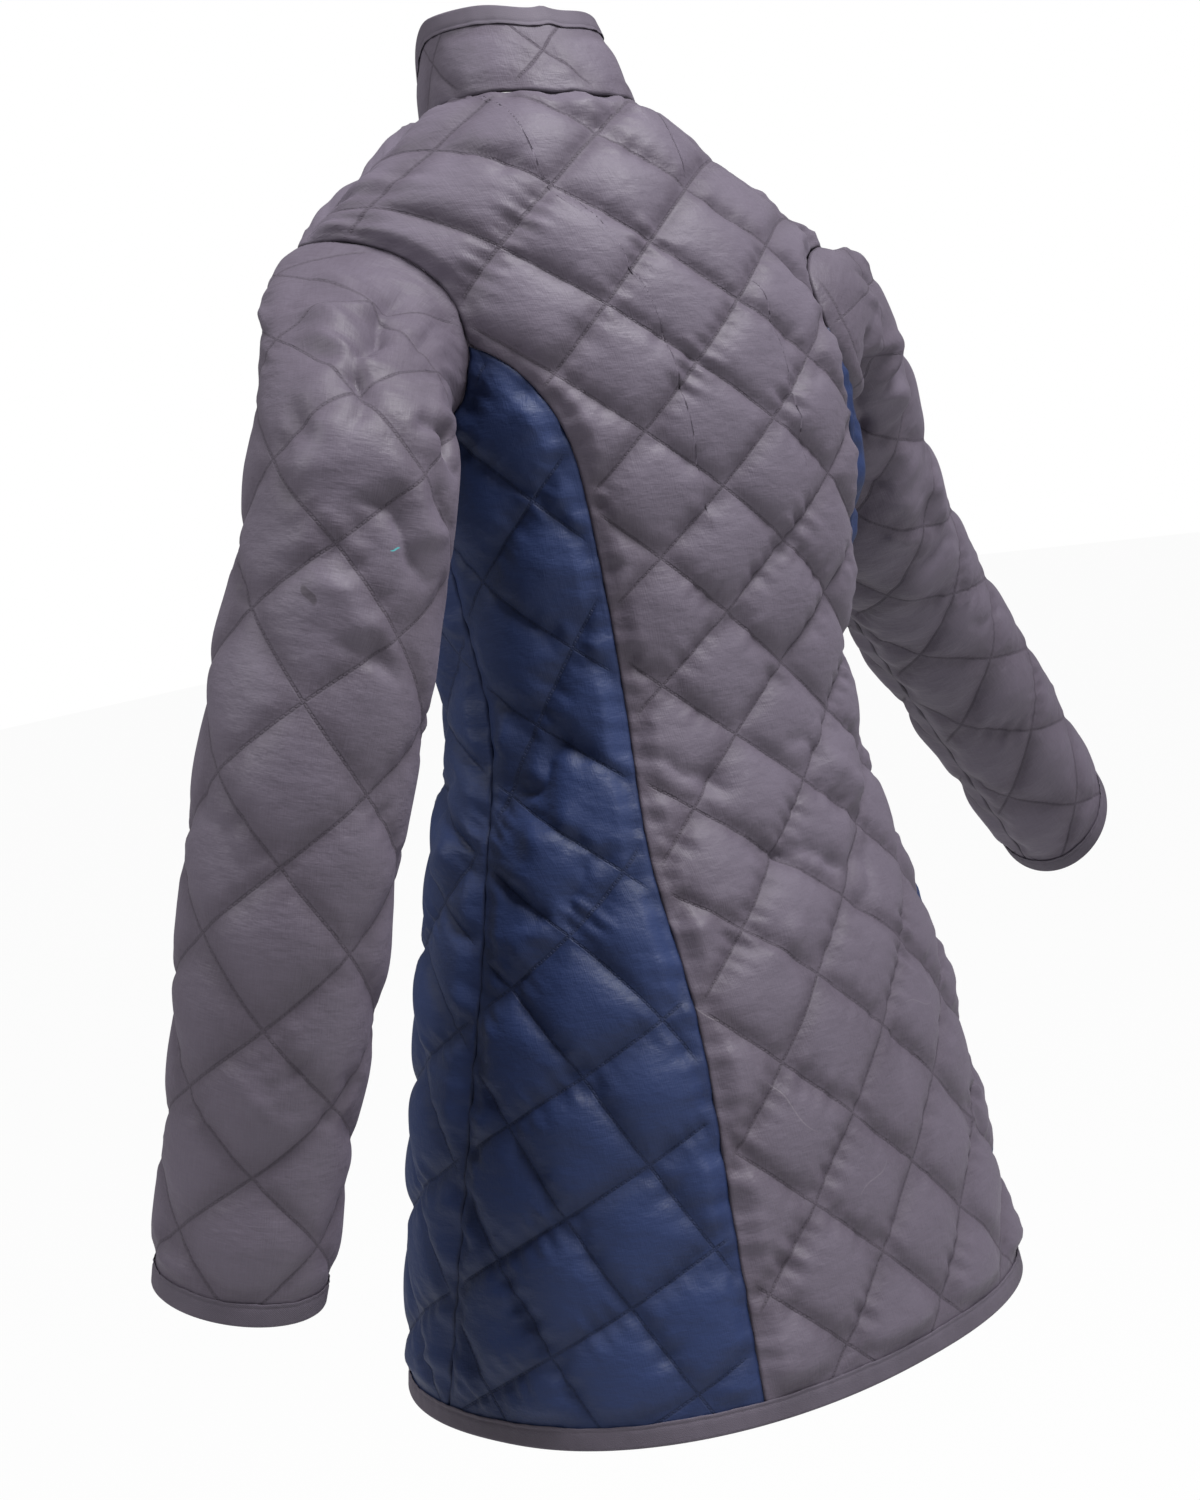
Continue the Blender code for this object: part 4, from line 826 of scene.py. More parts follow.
def keptClear(points, flip):
    # sleeve points pushed out of the body's section, along their own radius, where they would come nearer
    # than armClear
    q = unstance(points * flip)
    half, front, back, middle = sectionAt(q[..., 2])
    x, y = q[..., 0], q[..., 1] - middle
    depth = np.where(y > 0, back, front)
    out = (np.abs(x / half) ** squareness + np.abs(y / depth) ** squareness) ** (1 / squareness)
    radius = np.hypot(x, y) / out
    clear = sleeveCut["armClear"] * (1 - smooth(q[..., 2], underarmZ, underarmZ + sleeveCut["clearOver"]))
    lack = 1 + clear / radius - out
    ease, over = sleeveCut["ease"], lack - sleeveCut["mostPush"]
    push = 0.5 * (lack + np.sqrt(lack**2 + ease**2)) - 0.5 * (np.sqrt(over**2 + ease**2) - np.abs(over))
    grow = np.where(clear > 0, (out + np.maximum(push, 0)) / out, 1.0)
    grow = 1 + (grow - 1) * smooth(out, 1.8, 1.3)
    return stance(np.stack([x * grow, y * grow + middle, q[..., 2]], -1)) * flip


def clearInside(edge, run, normal, towards, heading, gap):
    # edge + inward * (gap + wall * sine of the angle between inward and heading), inward being run x normal
    inward = unit(np.cross(run, normal))
    inward *= np.where((towards * inward).sum(-1, keepdims=True) < 0, -1.0, 1.0)
    sine = np.sqrt(np.clip(1 - (inward * unit(heading)).sum(-1, keepdims=True) ** 2, 0, 1))
    return edge + inward * (gap + cloth["wall"] * sine)


class Sleeve:
    # rings carried along the arm's line, then a cap that eases from the top ring to the armhole by cubic
    # curves
    def __init__(self, side):
        cut = sleeveCut
        flip = np.array([-1.0, 1, 1]) if side == "R" else np.ones(3)
        table = sleeveTable[side]
        run = arc(table[:, :3])
        self.straight = run[-1]
        v = np.linspace(0, run[-1], cut["rows"])
        middle = np.stack([through(run, table[:, k], v) for k in range(3)], -1)
        wide, deep = through(run, table[:, 3], v), through(run, table[:, 4], v)
        down = unit(np.gradient(middle, v, axis=0))
        aim = np.array(cut["outward"][side])
        outwards = unit(aim - (down @ aim)[:, None] * down)
        backwards = np.cross(outwards, down)
        turn = np.radians(cut["cuffTurn"][side]) * smooth(v / v[-1], 0.55, 1.0)
        outwards = outwards * np.cos(turn)[:, None] + down * np.sin(turn)[:, None]
        self.psi = np.linspace(-np.pi, np.pi, cut["columns"])
        cosine, sine = np.cos(self.psi), np.sin(self.psi)
        rings = (middle[None] + cosine[:, None, None] * wide[None, :, None] * outwards[None]
                 + sine[:, None, None] * deep[None, :, None] * backwards[None])
        front = np.concatenate([holeFrontLow[:-1], holeFrontHigh])
        back = np.concatenate([holeBackLow[:-1], holeBackHigh])
        flat = np.concatenate([along(front, 1 + self.psi[self.psi <= 0] / np.pi),
                               along(back, 1 - self.psi[self.psi > 0] / np.pi)])
        signed = flat * [flip[0], 1.0]
        edge = bodyAt(signed) * flip
        normal = facing(bodyAt, signed, 1.0) * flip
        area = np.cross(edge[:-1] - edge.mean(0), edge[1:] - edge.mean(0)).sum(0)
        aside = unit(area) * np.sign(area[0])
        top = (1 + cosine[:, None]) / 2
        drop = np.array([0, 0, cut["topDrop"]])
        heading = aside * (cut["outTop"] * top + cut["outLow"] * (1 - top)) - drop * top
        hem = edge[:-1]
        around = unit(np.roll(hem, -1, 0) - np.roll(hem, 1, 0))
        start = clearInside(hem, around, normal[:-1], hem.mean(0) - hem, heading[:-1], cut["startClear"])
        start = np.concatenate([start, start[:1]])
        end = rings[:, 0]
        leave = down[0] * np.linalg.norm(end - start, axis=1, keepdims=True)
        first, leaving, last, arriving = hermiteWeights(np.linspace(1, 0, cut["capRows"])[None, :, None])
        cap = (first * start[:, None] + leaving * heading[:, None]
               + last * end[:, None] + arriving * leave[:, None])
        whole = np.concatenate([rings[:, ::-1], cap[:, 1:]], 1)
        pushed = np.ones(whole.shape[1])
        pushed[-4:] = [0.75, 0.5, 0.2, 0.0]
        whole = whole + (keptClear(whole, flip) - whole) * pushed[None, :, None]
        cap = whole[:, cut["rows"] - 1:]
        self.capHigh = arc(cap)[:, -1]
        even = np.stack([along(line, np.linspace(0, 1, cut["capRows"])) for line in cap])
        self.grid = np.concatenate([whole[:, :cut["rows"] - 1], even], 1) * flip
        self.half = 0.5 * np.pi * (wide + deep)[::-1]
        self.turned = -flip[0]

    def halfAt(self, y):
        # half the length round the sleeve at t = y: pi * (radius outwards + radius front to back) / 2
        return np.interp(y, np.linspace(0, self.straight, sleeveCut["rows"]), self.half)

    def topAt(self, psi):
        # t of the cap's edge at the angle psi
        return self.straight + np.interp(psi, self.psi, self.capHigh)

    def at(self, st):
        # the place of s and t: the angle is pi * s / half length, and the row runs evenly up the rings, then
        # the cap
        psi = np.clip(np.pi * st[:, 0] / self.halfAt(st[:, 1]), -np.pi, np.pi)
        low = st[:, 1] / self.straight * (sleeveCut["rows"] - 1)
        cap = (st[:, 1] - self.straight) / (self.topAt(psi) - self.straight)
        row = np.where(cap > 0, sleeveCut["rows"] - 1 + cap * (sleeveCut["capRows"] - 1), low)
        return onGrid(self.grid, (psi + np.pi) / (2 * np.pi) * (sleeveCut["columns"] - 1), row)

    def pressed(self, st):
        # the quilting is flatter where the sleeve lies against the body, and at the smooth cap
        psi = np.pi * st[:, 0] / self.halfAt(st[:, 1])
        near = smooth(np.abs(psi), 0.55 * np.pi, 0.8 * np.pi)
        flat = 1 - sleeveCut["sideFlat"] * near * smooth(st[:, 1], self.straight - 0.16, self.straight - 0.04)
        cap = smooth(st[:, 1], self.straight - 0.01, self.straight + 0.05)
        return flat * (1 - sleeveCut["capFlat"] * cap)

    def edges(self):
        # cuff, top, and the two edges that the underarm seam joins
        y = np.linspace(0, self.topAt(np.pi), 200)
        seam = np.stack([self.halfAt(y), y], -1)
        psi = np.linspace(-np.pi, np.pi, 241)
        top = np.stack([psi / np.pi * self.half[-1], self.topAt(psi)], -1)
        cuff = np.stack([np.linspace(-1, 1, 60) * self.half[0], np.zeros(60)], -1)
        return cuff, top, seam * [-1.0, 1.0], seam


# collar

collarCut = {
    "high": 0.061,
    "lean": 0.16,           # inwards, times the distance to the middle of the neck
    "backTilt": -0.22,
    "frontLower": 0.22,     # share by which the front is lower
    "clear": 0.0005,
    "rows": 7,
}


class Collar:
    # straight up and inwards from the neckline, its own thickness inside it
    def __init__(self):
        half = np.concatenate([evenly(neckBack[::-1], 0.002), evenly(neckFront, 0.002)[1:]])
        flat = np.concatenate([mirrored(half)[:-1], half])
        sign = np.where(flat[:, 0] < 0, -1.0, 1.0)
        h = 0.003

        def place(ds, dt):
            # the neckline moved by ds and dt, on its own side
            p = bodyPlain(np.stack([np.abs(flat[:, 0]) + ds, flat[:, 1] + dt], -1))
            p[:, 0] *= sign
            return p

        p = place(0, 0)
        normal = unit(np.cross(p - place(0, -h), place(h, 0) - place(-h, 0))) * sign[:, None]
        up = unit(np.array([0, collarCut["backTilt"], 1.0]))
        inward = np.array([0, p[:, 1].mean(), p[:, 2].mean()]) - p
        inward -= (inward @ up)[:, None] * up
        heading = up + inward * collarCut["lean"] / collarCut["high"]
        base = clearInside(p, unit(np.gradient(p, axis=0)), normal, inward, heading, collarCut["clear"])
        self.high = collarCut["high"] * (1 - collarCut["frontLower"] * smooth(-p[:, 1], 0.0, neck["front"]))
        rise = self.high[:, None] * np.linspace(0, 1, collarCut["rows"])
        self.grid = stance(base[:, None] + heading[:, None] * rise[..., None])
        self.length = arc(self.grid[:, 0])
        self.middle = 0.5 * self.length[-1]

    def at(self, st):
        # the place of s, from the centre back along the neckline, and t as a share of the height there
        place = np.interp(st[:, 0] + self.middle, self.length, np.arange(len(self.length)))
        return onGrid(self.grid, place, st[:, 1] / self.top(st[:, 0]) * (collarCut["rows"] - 1))

    def top(self, x):
        # the collar's height at s = x
        return np.interp(x + self.middle, self.length, self.high)

    def edges(self):
        # neckline, top, and the two ends
        x = np.linspace(-self.middle, self.middle, 160)
        end = np.linspace(0, 1, 20) * self.top(x[-1])
        top = np.stack([x, self.top(x)], -1)
        low = np.stack([x, 0 * x], -1)
        return low, top, np.stack([0 * end + x[0], end], -1), np.stack([0 * end + x[-1], end], -1)


# tapes

tape = {
    "wide": 0.0125,
    "thick": 0.0009,
    "room": 0.0004,         # between the tape and the cloth inside it
    "nose": 0.0014,         # how far it stands over the edge
    "step": 0.0022,         # between its rings
    "sewn": 0.0022,         # the stitched row, from the free side
    "sunk": 0.00045,        # how deep the row pulls in
    "waver": 0.0005,
    "ripple": 0.00035,
    "fold": 0.003,          # cloth taken up by the fold round the edge
}


def tapeProfile():
    # a line in along one side of the cloth's edge, round it as half an ellipse and back on the other side,
    # given a thickness; returned with the number of points on one face
    wide, thick = tape["wide"], tape["thick"]
    middle, high = cloth["wall"] / 2, cloth["wall"] / 2 + tape["room"] + thick / 2
    leg = np.array([wide, wide - 0.0009, wide - 0.0016, wide - tape["sewn"], wide - 0.0028, wide - 0.0036,
                    wide * 0.55, wide * 0.3, 0.0008])
    a = np.linspace(np.pi / 2, -np.pi / 2, 9)
    nose = np.stack([-tape["nose"] * np.cos(a), middle + high * np.sin(a)], -1)
    outer = np.stack([leg, 0 * leg + middle + high], -1)
    inner = np.stack([leg[::-1], 0 * leg + middle - high], -1)
    line = np.concatenate([outer, nose, inner])
    heading = unit(np.gradient(line, axis=0))
    side = np.stack([heading[:, 1], -heading[:, 0]], -1) * thick / 2
    taper = np.ones(len(line))
    taper[[0, -1]] = 0.45
    side *= taper[:, None]
    tipOut, tipIn = line[0] - heading[0] * thick * 0.35, line[-1] + heading[-1] * thick * 0.35
    loop = np.concatenate([line - side, [tipIn], (line + side)[::-1], [tipOut]])
    return loop, len(line)


def foldedTape(name, node, edge, into, normal, closed, seed):
    # the profile carried along the edge, edge + into * a + normal * b; its free side and height waver by
    # sines
    loop, m = tapeProfile()
    run = arc(edge)
    total = run[-1] + (np.linalg.norm(edge[0] - edge[-1]) if closed else 0)
    turn = 2 * np.pi * run / total if closed else run * 9.0
    waver = np.sin(turn * 7 + seed) * 0.5 + np.sin(turn * 17 + 2 * seed) * 0.3
    waver = waver + np.sin(turn * 31 + 3 * seed) * 0.2
    puckered = np.sin(turn * 43 + seed) * 0.5 + np.sin(turn * 61 + 2) * 0.5
    share = np.clip(loop[:, 0] / tape["wide"], 0, 1)
    outerLeg = smooth(loop[:, 1], 0.5 * cloth["wall"], cloth["wall"] + tape["room"])
    a = loop[None, :, 0] + tape["waver"] * waver[:, None] * share[None] ** 2
    sunk = tape["sunk"] * np.exp(-((loop[:, 0] - tape["wide"] + tape["sewn"]) / 0.0009) ** 2) * outerLeg
    b = loop[None, :, 1] + tape["ripple"] * puckered[:, None] * (share * outerLeg)[None] - sunk[None]
    rings = edge[:, None] + into[:, None] * a[..., None] + normal[:, None] * b[..., None]
    count, size = rings.shape[:2]
    across = arc(np.concatenate([loop, loop[:1]]))
    runs = np.append(run, total)
    i = np.arange(count if closed else count - 1)[:, None]
    k = np.arange(size)[None]
    j, n = (i + 1) % count, (k + 1) % size
    quads = np.stack(np.broadcast_arrays(i * size + k, i * size + n, j * size + n, j * size + k), -1)
    quads = quads.reshape(-1, 4)
    corners = [np.stack(np.broadcast_arrays(runs[i + up], across[k + over]), -1)
               for up, over in ((0, 0), (0, 1), (1, 1), (1, 0))]
    uv = np.stack(corners, 2).reshape(-1, 2)
    faces = quads.tolist()
    if not closed:
        c = np.arange(m - 1)
        cap = np.stack([c, c + 1, 2 * m - c - 1, 2 * m - c], -1)
        tips = [(m - 1, m, m + 1), (2 * m, 2 * m + 1, 0)]
        last = (count - 1) * size
        faces += cap[:, ::-1].tolist() + (cap + last).tolist()
        faces += [t[::-1] for t in tips] + [tuple(x + last for x in t) for t in tips]
        uv = np.concatenate([uv, np.full((2 * (4 * len(cap) + 6), 2), 0.5 * tape["wide"])])
    p = rings.reshape(-1, 3)
    q = p[quads]
    volume = (q[:, 0] * np.cross(q[:, 1], q[:, 2])).sum() + (q[:, 0] * np.cross(q[:, 2], q[:, 3])).sum()
    if volume < 0:
        faces = [f[::-1] for f in faces]
        sizes = np.array([len(f) for f in faces])
        ends = np.cumsum(sizes)
        uv = uv[np.concatenate([np.arange(e - 1, e - s - 1, -1) for e, s in zip(ends, sizes)])]
    piece = addMesh(name, p, faces, tapeFinish, {}, {})
    piece.data.uv_layers.new(name="cloth").data.foreach_set("uv", uv.astype(np.float32).ravel())
    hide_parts(node)
    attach(piece, "root")
    return piece, total


# finishes


class Wire:
    # a socket of a material's nodes; sums on wires add Math nodes
    def __init__(self, tree, socket):
        self.tree, self.socket = tree, socket

    def math(self, operation, *others):
        # a Math node on this wire and the others
        inputs = dict(enumerate((self,) + others))
        return nodeWith(self.tree, "ShaderNodeMath", {"operation": operation}, inputs)

    def __add__(self, other):
        return self.math("ADD", other)

    def __sub__(self, other):
        return self.math("SUBTRACT", other)

    def __mul__(self, other):
        return self.math("MULTIPLY", other)

    def __truediv__(self, other):
        return self.math("DIVIDE", other)

    def __pow__(self, other):
        return self.math("POWER", other)

    def __neg__(self):
        return self * -1.0

    def __rsub__(self, other):
        return -self + other

    __radd__, __rmul__ = __add__, __mul__


def nodeWith(tree, kind, settings=None, inputs=None, output=0):
    # a node of this kind, its settings made first, then its sockets given values or wires; returns one output
    node = tree.nodes.new(kind)
    for key, value in (settings or {}).items():
        setattr(node, key, value)
    for key, value in (inputs or {}).items():
        socket = node.inputs[key]
        if isinstance(value, Wire):
            tree.links.new(value.socket, socket)
        else:
            socket.default_value = value
    return Wire(tree, node.outputs[output]) if len(node.outputs) else None


def newMaterial(name):
    # an empty material of this name, and its node tree
    made = bpy.data.materials.new(name)
    made.use_nodes = True
    made.node_tree.nodes.clear()
    return made, made.node_tree


def ranged(value, low, high, toLow=0.0, toHigh=1.0):
    # a smooth step of the value from low to high, made to run from toLow to toHigh
    return nodeWith(value.tree, "ShaderNodeMapRange", {"interpolation_type": "SMOOTHSTEP"},
                    {"Value": value, "From Min": low, "From Max": high, "To Min": toLow, "To Max": toHigh})


def mixed(tree, factor, a, b):
    # colour a where the factor is 0, b where it is 1
    settings = {"data_type": "RGBA", "blend_type": "MIX"}
    return nodeWith(tree, "ShaderNodeMix", settings, {0: factor, 6: a, 7: b}, 2)


def shade(colour, share=1.0):
    # the colour times a share, with full alpha
    return (*(share * x for x in colour), 1.0)


def noise(tree, place, scale, detail=2.0, rough=0.5):
    # cloudy values about 0.5, so many clouds a metre of the place
    return nodeWith(tree, "ShaderNodeTexNoise", {"noise_dimensions": "3D"},
                    {"Vector": place, "Scale": scale, "Detail": detail, "Roughness": rough})


def scaled(tree, place, x, y, z=1.0, dx=0.0, dy=0.0):
    # the place times (x, y, z), moved by dx and dy
    return nodeWith(tree, "ShaderNodeMapping", {"vector_type": "POINT"},
                    {"Vector": place, "Location": (dx, dy, 0.0), "Scale": (x, y, z)})


def separated(tree, vector):
    # the x and y of a vector
    first = nodeWith(tree, "ShaderNodeSeparateXYZ", None, {0: vector})
    return first, Wire(tree, first.socket.node.outputs[1])


def finishSurface(made, tree, colour, roughness, height, distance, sheen, sheenTint, gloss=0.3):
    # a principled surface with the height as a bump
    normal = nodeWith(tree, "ShaderNodeBump", None, {"Height": height, "Distance": distance, "Strength": 1.0})
    shader = nodeWith(tree, "ShaderNodeBsdfPrincipled", None, {
        "Base Color": colour, "Roughness": roughness, "Normal": normal, "Sheen Weight": sheen,
        "Sheen Roughness": 0.45, "Sheen Tint": shade(sheenTint), "Specular IOR Level": gloss})
    nodeWith(tree, "ShaderNodeOutputMaterial", None, {"Surface": shader})
    return made


sateen = {
    "grey": (0.088, 0.073, 0.098),
    "greyLight": (0.136, 0.118, 0.156),
    "greyDark": (0.040, 0.031, 0.042),
    "navy": (0.0135, 0.0245, 0.080),
    "navyLight": (0.021, 0.037, 0.110),
    "navyDark": (0.0055, 0.0095, 0.028),
    "tape": (0.080, 0.068, 0.090),
    "stitch": 0.0034,         # length of one stitch
    "thread": 0.0007,         # half the width of the sewn line
    "ditch": 0.0017,          # half the width of the shadow beside it
    "roughness": 0.56,
    "sheen": 0.26,
    "navySheen": 0.03,
    "gloss": 0.28,
}


def stitchLines(tree, ab):
    # 1 on the quilting threads, dashes along every whole lattice number, and 1 falling to 0 in the ditch
    # beside them
    a, b = separated(tree, ab)
    threads, ditches = [], []
    for across, run in ((a, b), (b, a)):
        away = across.math("PINGPONG", 0.5) * cloth["quilt"]
        dash = (run * (cloth["quilt"] / sateen["stitch"])).math("PINGPONG", 0.5)
        threads.append(ranged(away, sateen["thread"], 0.35 * sateen["thread"]) * ranged(dash, 0.08, 0.2))
        ditches.append(ranged(away, sateen["ditch"], 0.0))
    return threads[0].math("MAXIMUM", threads[1]), ditches[0].math("MAXIMUM", ditches[1])


def quiltedCloth(name, base, light, dark, lustre, marks=()):
    # cotton sateen over padding: a painted highlight, partly wear, makes the puffs lighter, and painted shade
    # darkens the stitched ditches and the seams at the edge; marks are spots or scratches: s, t, half length,
    # half width, angle, colour, strength
    made, tree = newMaterial(name)
    st = nodeWith(tree, "ShaderNodeUVMap", {"uv_map": "cloth"})
    ab = nodeWith(tree, "ShaderNodeUVMap", {"uv_map": "quilt"})
    place = nodeWith(tree, "ShaderNodeTexCoord", None, None, 3)
    puffed = nodeWith(tree, "ShaderNodeAttribute", {"attribute_name": "puffed"}, None, 2)
    edge = nodeWith(tree, "ShaderNodeAttribute", {"attribute_name": "edge"}, None, 2)
    thread, ditch = stitchLines(tree, ab)
    lay = ranged(edge, 0.004, 0.010)
    thread, ditch = thread * lay, ditch * lay
    broad = noise(tree, place, 5.0, 3.0, 0.55)          # fading over whole panels
    patchy = noise(tree, place, 26.0, 3.0, 0.55)        # unevenness about the size of a cell
    warp = noise(tree, scaled(tree, st, 1400.0, 70.0), 1.0, 2.0, 0.6)
    weft = noise(tree, scaled(tree, st, 90.0, 1100.0, 1.0, 3.1, 7.7), 1.0, 2.0, 0.6)
    lint = noise(tree, place, 900.0, 1.0, 0.5)
    crease = noise(tree, scaled(tree, st, 62.0, 95.0, 1.0, 9.0, 2.0), 1.0, 3.0, 0.55)   # soft small creases
    # tone: random unevenness plus a painted highlight on the puffs, partly wear
    tone = ranged(puffed, 0.15, 0.95) * 0.5 + (broad - 0.5) * 0.9 + (patchy - 0.5) * 0.5
    colour = mixed(tree, ranged(tone, -0.25, 0.75), shade(dark), shade(light))
    colour = mixed(tree, 0.62, colour, shade(base))
    grain = (warp - 0.5) * 0.28 + (weft - 0.5) * 0.22 + (lint - 0.5) * 0.10
    colour = mixed(tree, ranged(grain, -0.12, 0.12, 0.0, 0.34), colour, shade(light))
    # painted shade in the stitched ditches beside the quilting lines
    colour = mixed(tree, ditch * 0.50, colour, shade(dark, 0.55))
    colour = mixed(tree, thread * 0.45, colour, shade(base, 0.9))
    # painted shade along the seams, where the piece's edge rolls down
    colour = mixed(tree, ranged(edge, 0.0022, 0.0) * 0.40, colour, shade(dark, 0.5))
    s, t = separated(tree, st)
    for s0, t0, length, width, angle, tint, strength in marks:
        c, n = float(np.cos(np.radians(angle))), float(np.sin(np.radians(angle)))
        ds, dt = s - s0, t - t0
        u, v = ds * c + dt * n, dt * c - ds * n
        bend = (u * (3.0 / length)).math("SINE") * (0.12 * length)
        inside = (u / length) ** 2.0 + ((v - bend) / width) ** 2.0
        colour = mixed(tree, ranged(inside, 1.2, 0.5) * strength, colour, shade(tint))
    rough, uneven = sateen["roughness"], (patchy - 0.5) + (lint - 0.5) * 0.6
    roughness = ranged(uneven, -0.3, 0.3, rough - 0.05, rough + 0.07) + ditch * 0.14
    height = ((warp - 0.5) * 0.07 + (weft - 0.5) * 0.06 + (crease - 0.5) * 0.62 * ranged(ditch, 1.0, 0.0)
              + thread * 0.12 - ditch * 0.16)
    return finishSurface(made, tree, colour, roughness, height, 0.0022, lustre, light, sateen["gloss"])


def tapeCloth(name, base):
    # twill tape with a row of stitches along its free side, and painted shade darkening the dip beside the
    # row
    made, tree = newMaterial(name)
    uv = nodeWith(tree, "ShaderNodeUVMap", {"uv_map": "cloth"})
    place = nodeWith(tree, "ShaderNodeTexCoord", None, None, 3)
    run, across = separated(tree, uv)
    away = (across - tape["sewn"]).math("ABSOLUTE")
    dash = (run / sateen["stitch"]).math("PINGPONG", 0.5)
    thread = ranged(away, 0.0006, 0.0002) * ranged(dash, 0.08, 0.2)
    ditch = ranged(away, 0.0018, 0.0)
    twill = noise(tree, scaled(tree, uv, 500.0, 1500.0), 1.0, 1.0, 0.5)
    ribs = ((run + across) * 5200.0).math("SINE")
    broad = noise(tree, place, 18.0, 3.0, 0.55)
    colour = mixed(tree, ranged(broad, 0.3, 0.7), shade(base, 0.86), shade(base, 1.14))
    colour = mixed(tree, ranged(twill, 0.3, 0.7, 0.0, 0.25), colour, shade(base, 1.3))
    # painted shade in the sunk row of stitches
    colour = mixed(tree, ditch * 0.4, colour, shade(base, 0.45))
    colour = mixed(tree, thread * 0.5, colour, shade(base))
    height = ribs * 0.03 + (twill - 0.5) * 0.1 + thread * 0.3 - ditch * 0.3
    roughness = ranged(twill, 0.3, 0.7, 0.6, 0.7)
    return finishSurface(made, tree, colour, roughness, height, 0.0015, 0.12, base, 0.3)


greyTones = (sateen["grey"], sateen["greyLight"], sateen["greyDark"], sateen["sheen"])
greySateen = quiltedCloth("greySateen", *greyTones)
leftSateen = quiltedCloth("greySateenLeft", *greyTones, marks=[
    (0.0762, 0.4440, 0.0034, 0.0005, 20.0, (0.06, 0.34, 0.36), 0.85),
    (0.0365, 0.4115, 0.0070, 0.0026, -52.0, (0.030, 0.024, 0.030), 0.60),
])
backSateen = quiltedCloth("greySateenBack", *greyTones, marks=[
    (0.112, 0.252, 0.020, 0.0005, 38.0, (0.22, 0.20, 0.22), 0.30),
    (0.070, 0.180, 0.026, 0.0005, 52.0, (0.22, 0.20, 0.22), 0.26),
    (0.020, 0.120, 0.018, 0.0004, -28.0, (0.22, 0.20, 0.22), 0.26),
    (0.140, 0.090, 0.022, 0.0005, 64.0, (0.22, 0.20, 0.22), 0.26),
    (-0.060, 0.210, 0.016, 0.0004, 12.0, (0.22, 0.20, 0.22), 0.22),
])
navyTones = (sateen["navy"], sateen["navyLight"], sateen["navyDark"], sateen["navySheen"])
navySateen = quiltedCloth("navySateen", *navyTones)
tapeFinish = tapeCloth("greyTape", sateen["tape"])
print("finishes made")

# panels of the body

# puff of the quilting, gathers along its lines and along the seams, unevenness, and how far the edge rolls
# down
backLook = {"puff": 0.0072, "pucker": 0.0012, "seamPucker": 0.0011,
            "crumple": 0.0010, "roll": 0.0012, "seed": 3}
sideBackLook = {"puff": 0.0068, "pucker": 0.0011, "seamPucker": 0.0011,
                "crumple": 0.0011, "roll": 0.0012, "seed": 11}
sideFrontLook = {"puff": 0.0068, "pucker": 0.0011, "seamPucker": 0.0010,
                 "crumple": 0.0011, "roll": 0.0012, "seed": 19}
frontLook = {"puff": 0.0070, "pucker": 0.0011, "seamPucker": 0.0010,
             "crumple": 0.0010, "roll": 0.0012, "seed": 27}
sleeveLook = {
    "L": {"puff": 0.0046, "pucker": 0.0009, "seamPucker": 0.0010,
          "crumple": 0.0011, "roll": 0.0005, "seed": 35},
    "R": {"puff": 0.0046, "pucker": 0.0009, "seamPucker": 0.0010,
          "crumple": 0.0010, "roll": 0.0005, "seed": 43},
}
collarLook = {"puff": 0.0028, "pucker": 0.0003, "seamPucker": 0.0004,
              "crumple": 0.0003, "roll": 0.0008, "seed": 51}


def flatArea(line):
    # half the sum of x * next y - y * next x
    x, y = line[:, 0], line[:, 1]
    return abs((x * np.roll(y, -1) - y * np.roll(x, -1)).sum()) / 2


def declareSheet(outline, straight):
    # works out the cut, the flat piece's width, length and area, its slant taken out along one of its own
    # long edges, and keeps none of it
    flat = outline.copy()
    if straight is not None:
        flat[:, 0] -= np.interp(flat[:, 1], straight[:, 1], straight[:, 0])
    size = flat.max(0) - flat.min(0)
    round(float(flatArea(outline)), 4)


def fromHem(st):
    # distance from the taped edge, for a piece that ends at the hem or the cuff
    return st[:, 1]


def fromHemOrOpening(st):
    # the smaller of the distances from the hem and from the opening's edge
    return np.minimum(st[:, 1], frontEdge(st[:, 1])[:, 0] - np.abs(st[:, 0]))


def makePanel(name, node, edges, surface, quilt, look, material, flip=flips["L"],
              finest=cloth["finest"], bound=fromHem, turned=1.0, shape=None, straight=None):
    # the grid between four edges, quilted and folded; the sizes of its cut are worked out from its outline
    # and not kept
    bottom, top, left, right = edges
    st = gridBetween(bottom, top, left, right, finest) * flip
    outline = np.concatenate([bottom, right[1:], top[::-1][1:], left[::-1][1:-1]]) * flip
    piece = quiltedPiece(name, node, st, surface, quilt, evenly(outline, 0.006), look, material, bound,
                         turned, shape)
    declareSheet(outline, straight)
    return piece


backSides = {side: np.concatenate([backSeams[side], holeBackHigh[1:]]) for side in "LR"}
backTopHalf = np.concatenate([shoulderSeam(False), neckBack[1:]])
backTop = np.concatenate([mirrored(backTopHalf)[::-1], backTopHalf[::-1][1:]])
backBottom = hemLine(-backSeams["R"][0, 0], backSeams["L"][0, 0])
backEdges = (backBottom, backTop, backSides["R"] * flips["R"], backSides["L"])
piece = makePanel("backPanel", "back", backEdges, bodyAt, quiltBack, backLook, backSateen)
print("back made:", len(piece.data.polygons), "faces")

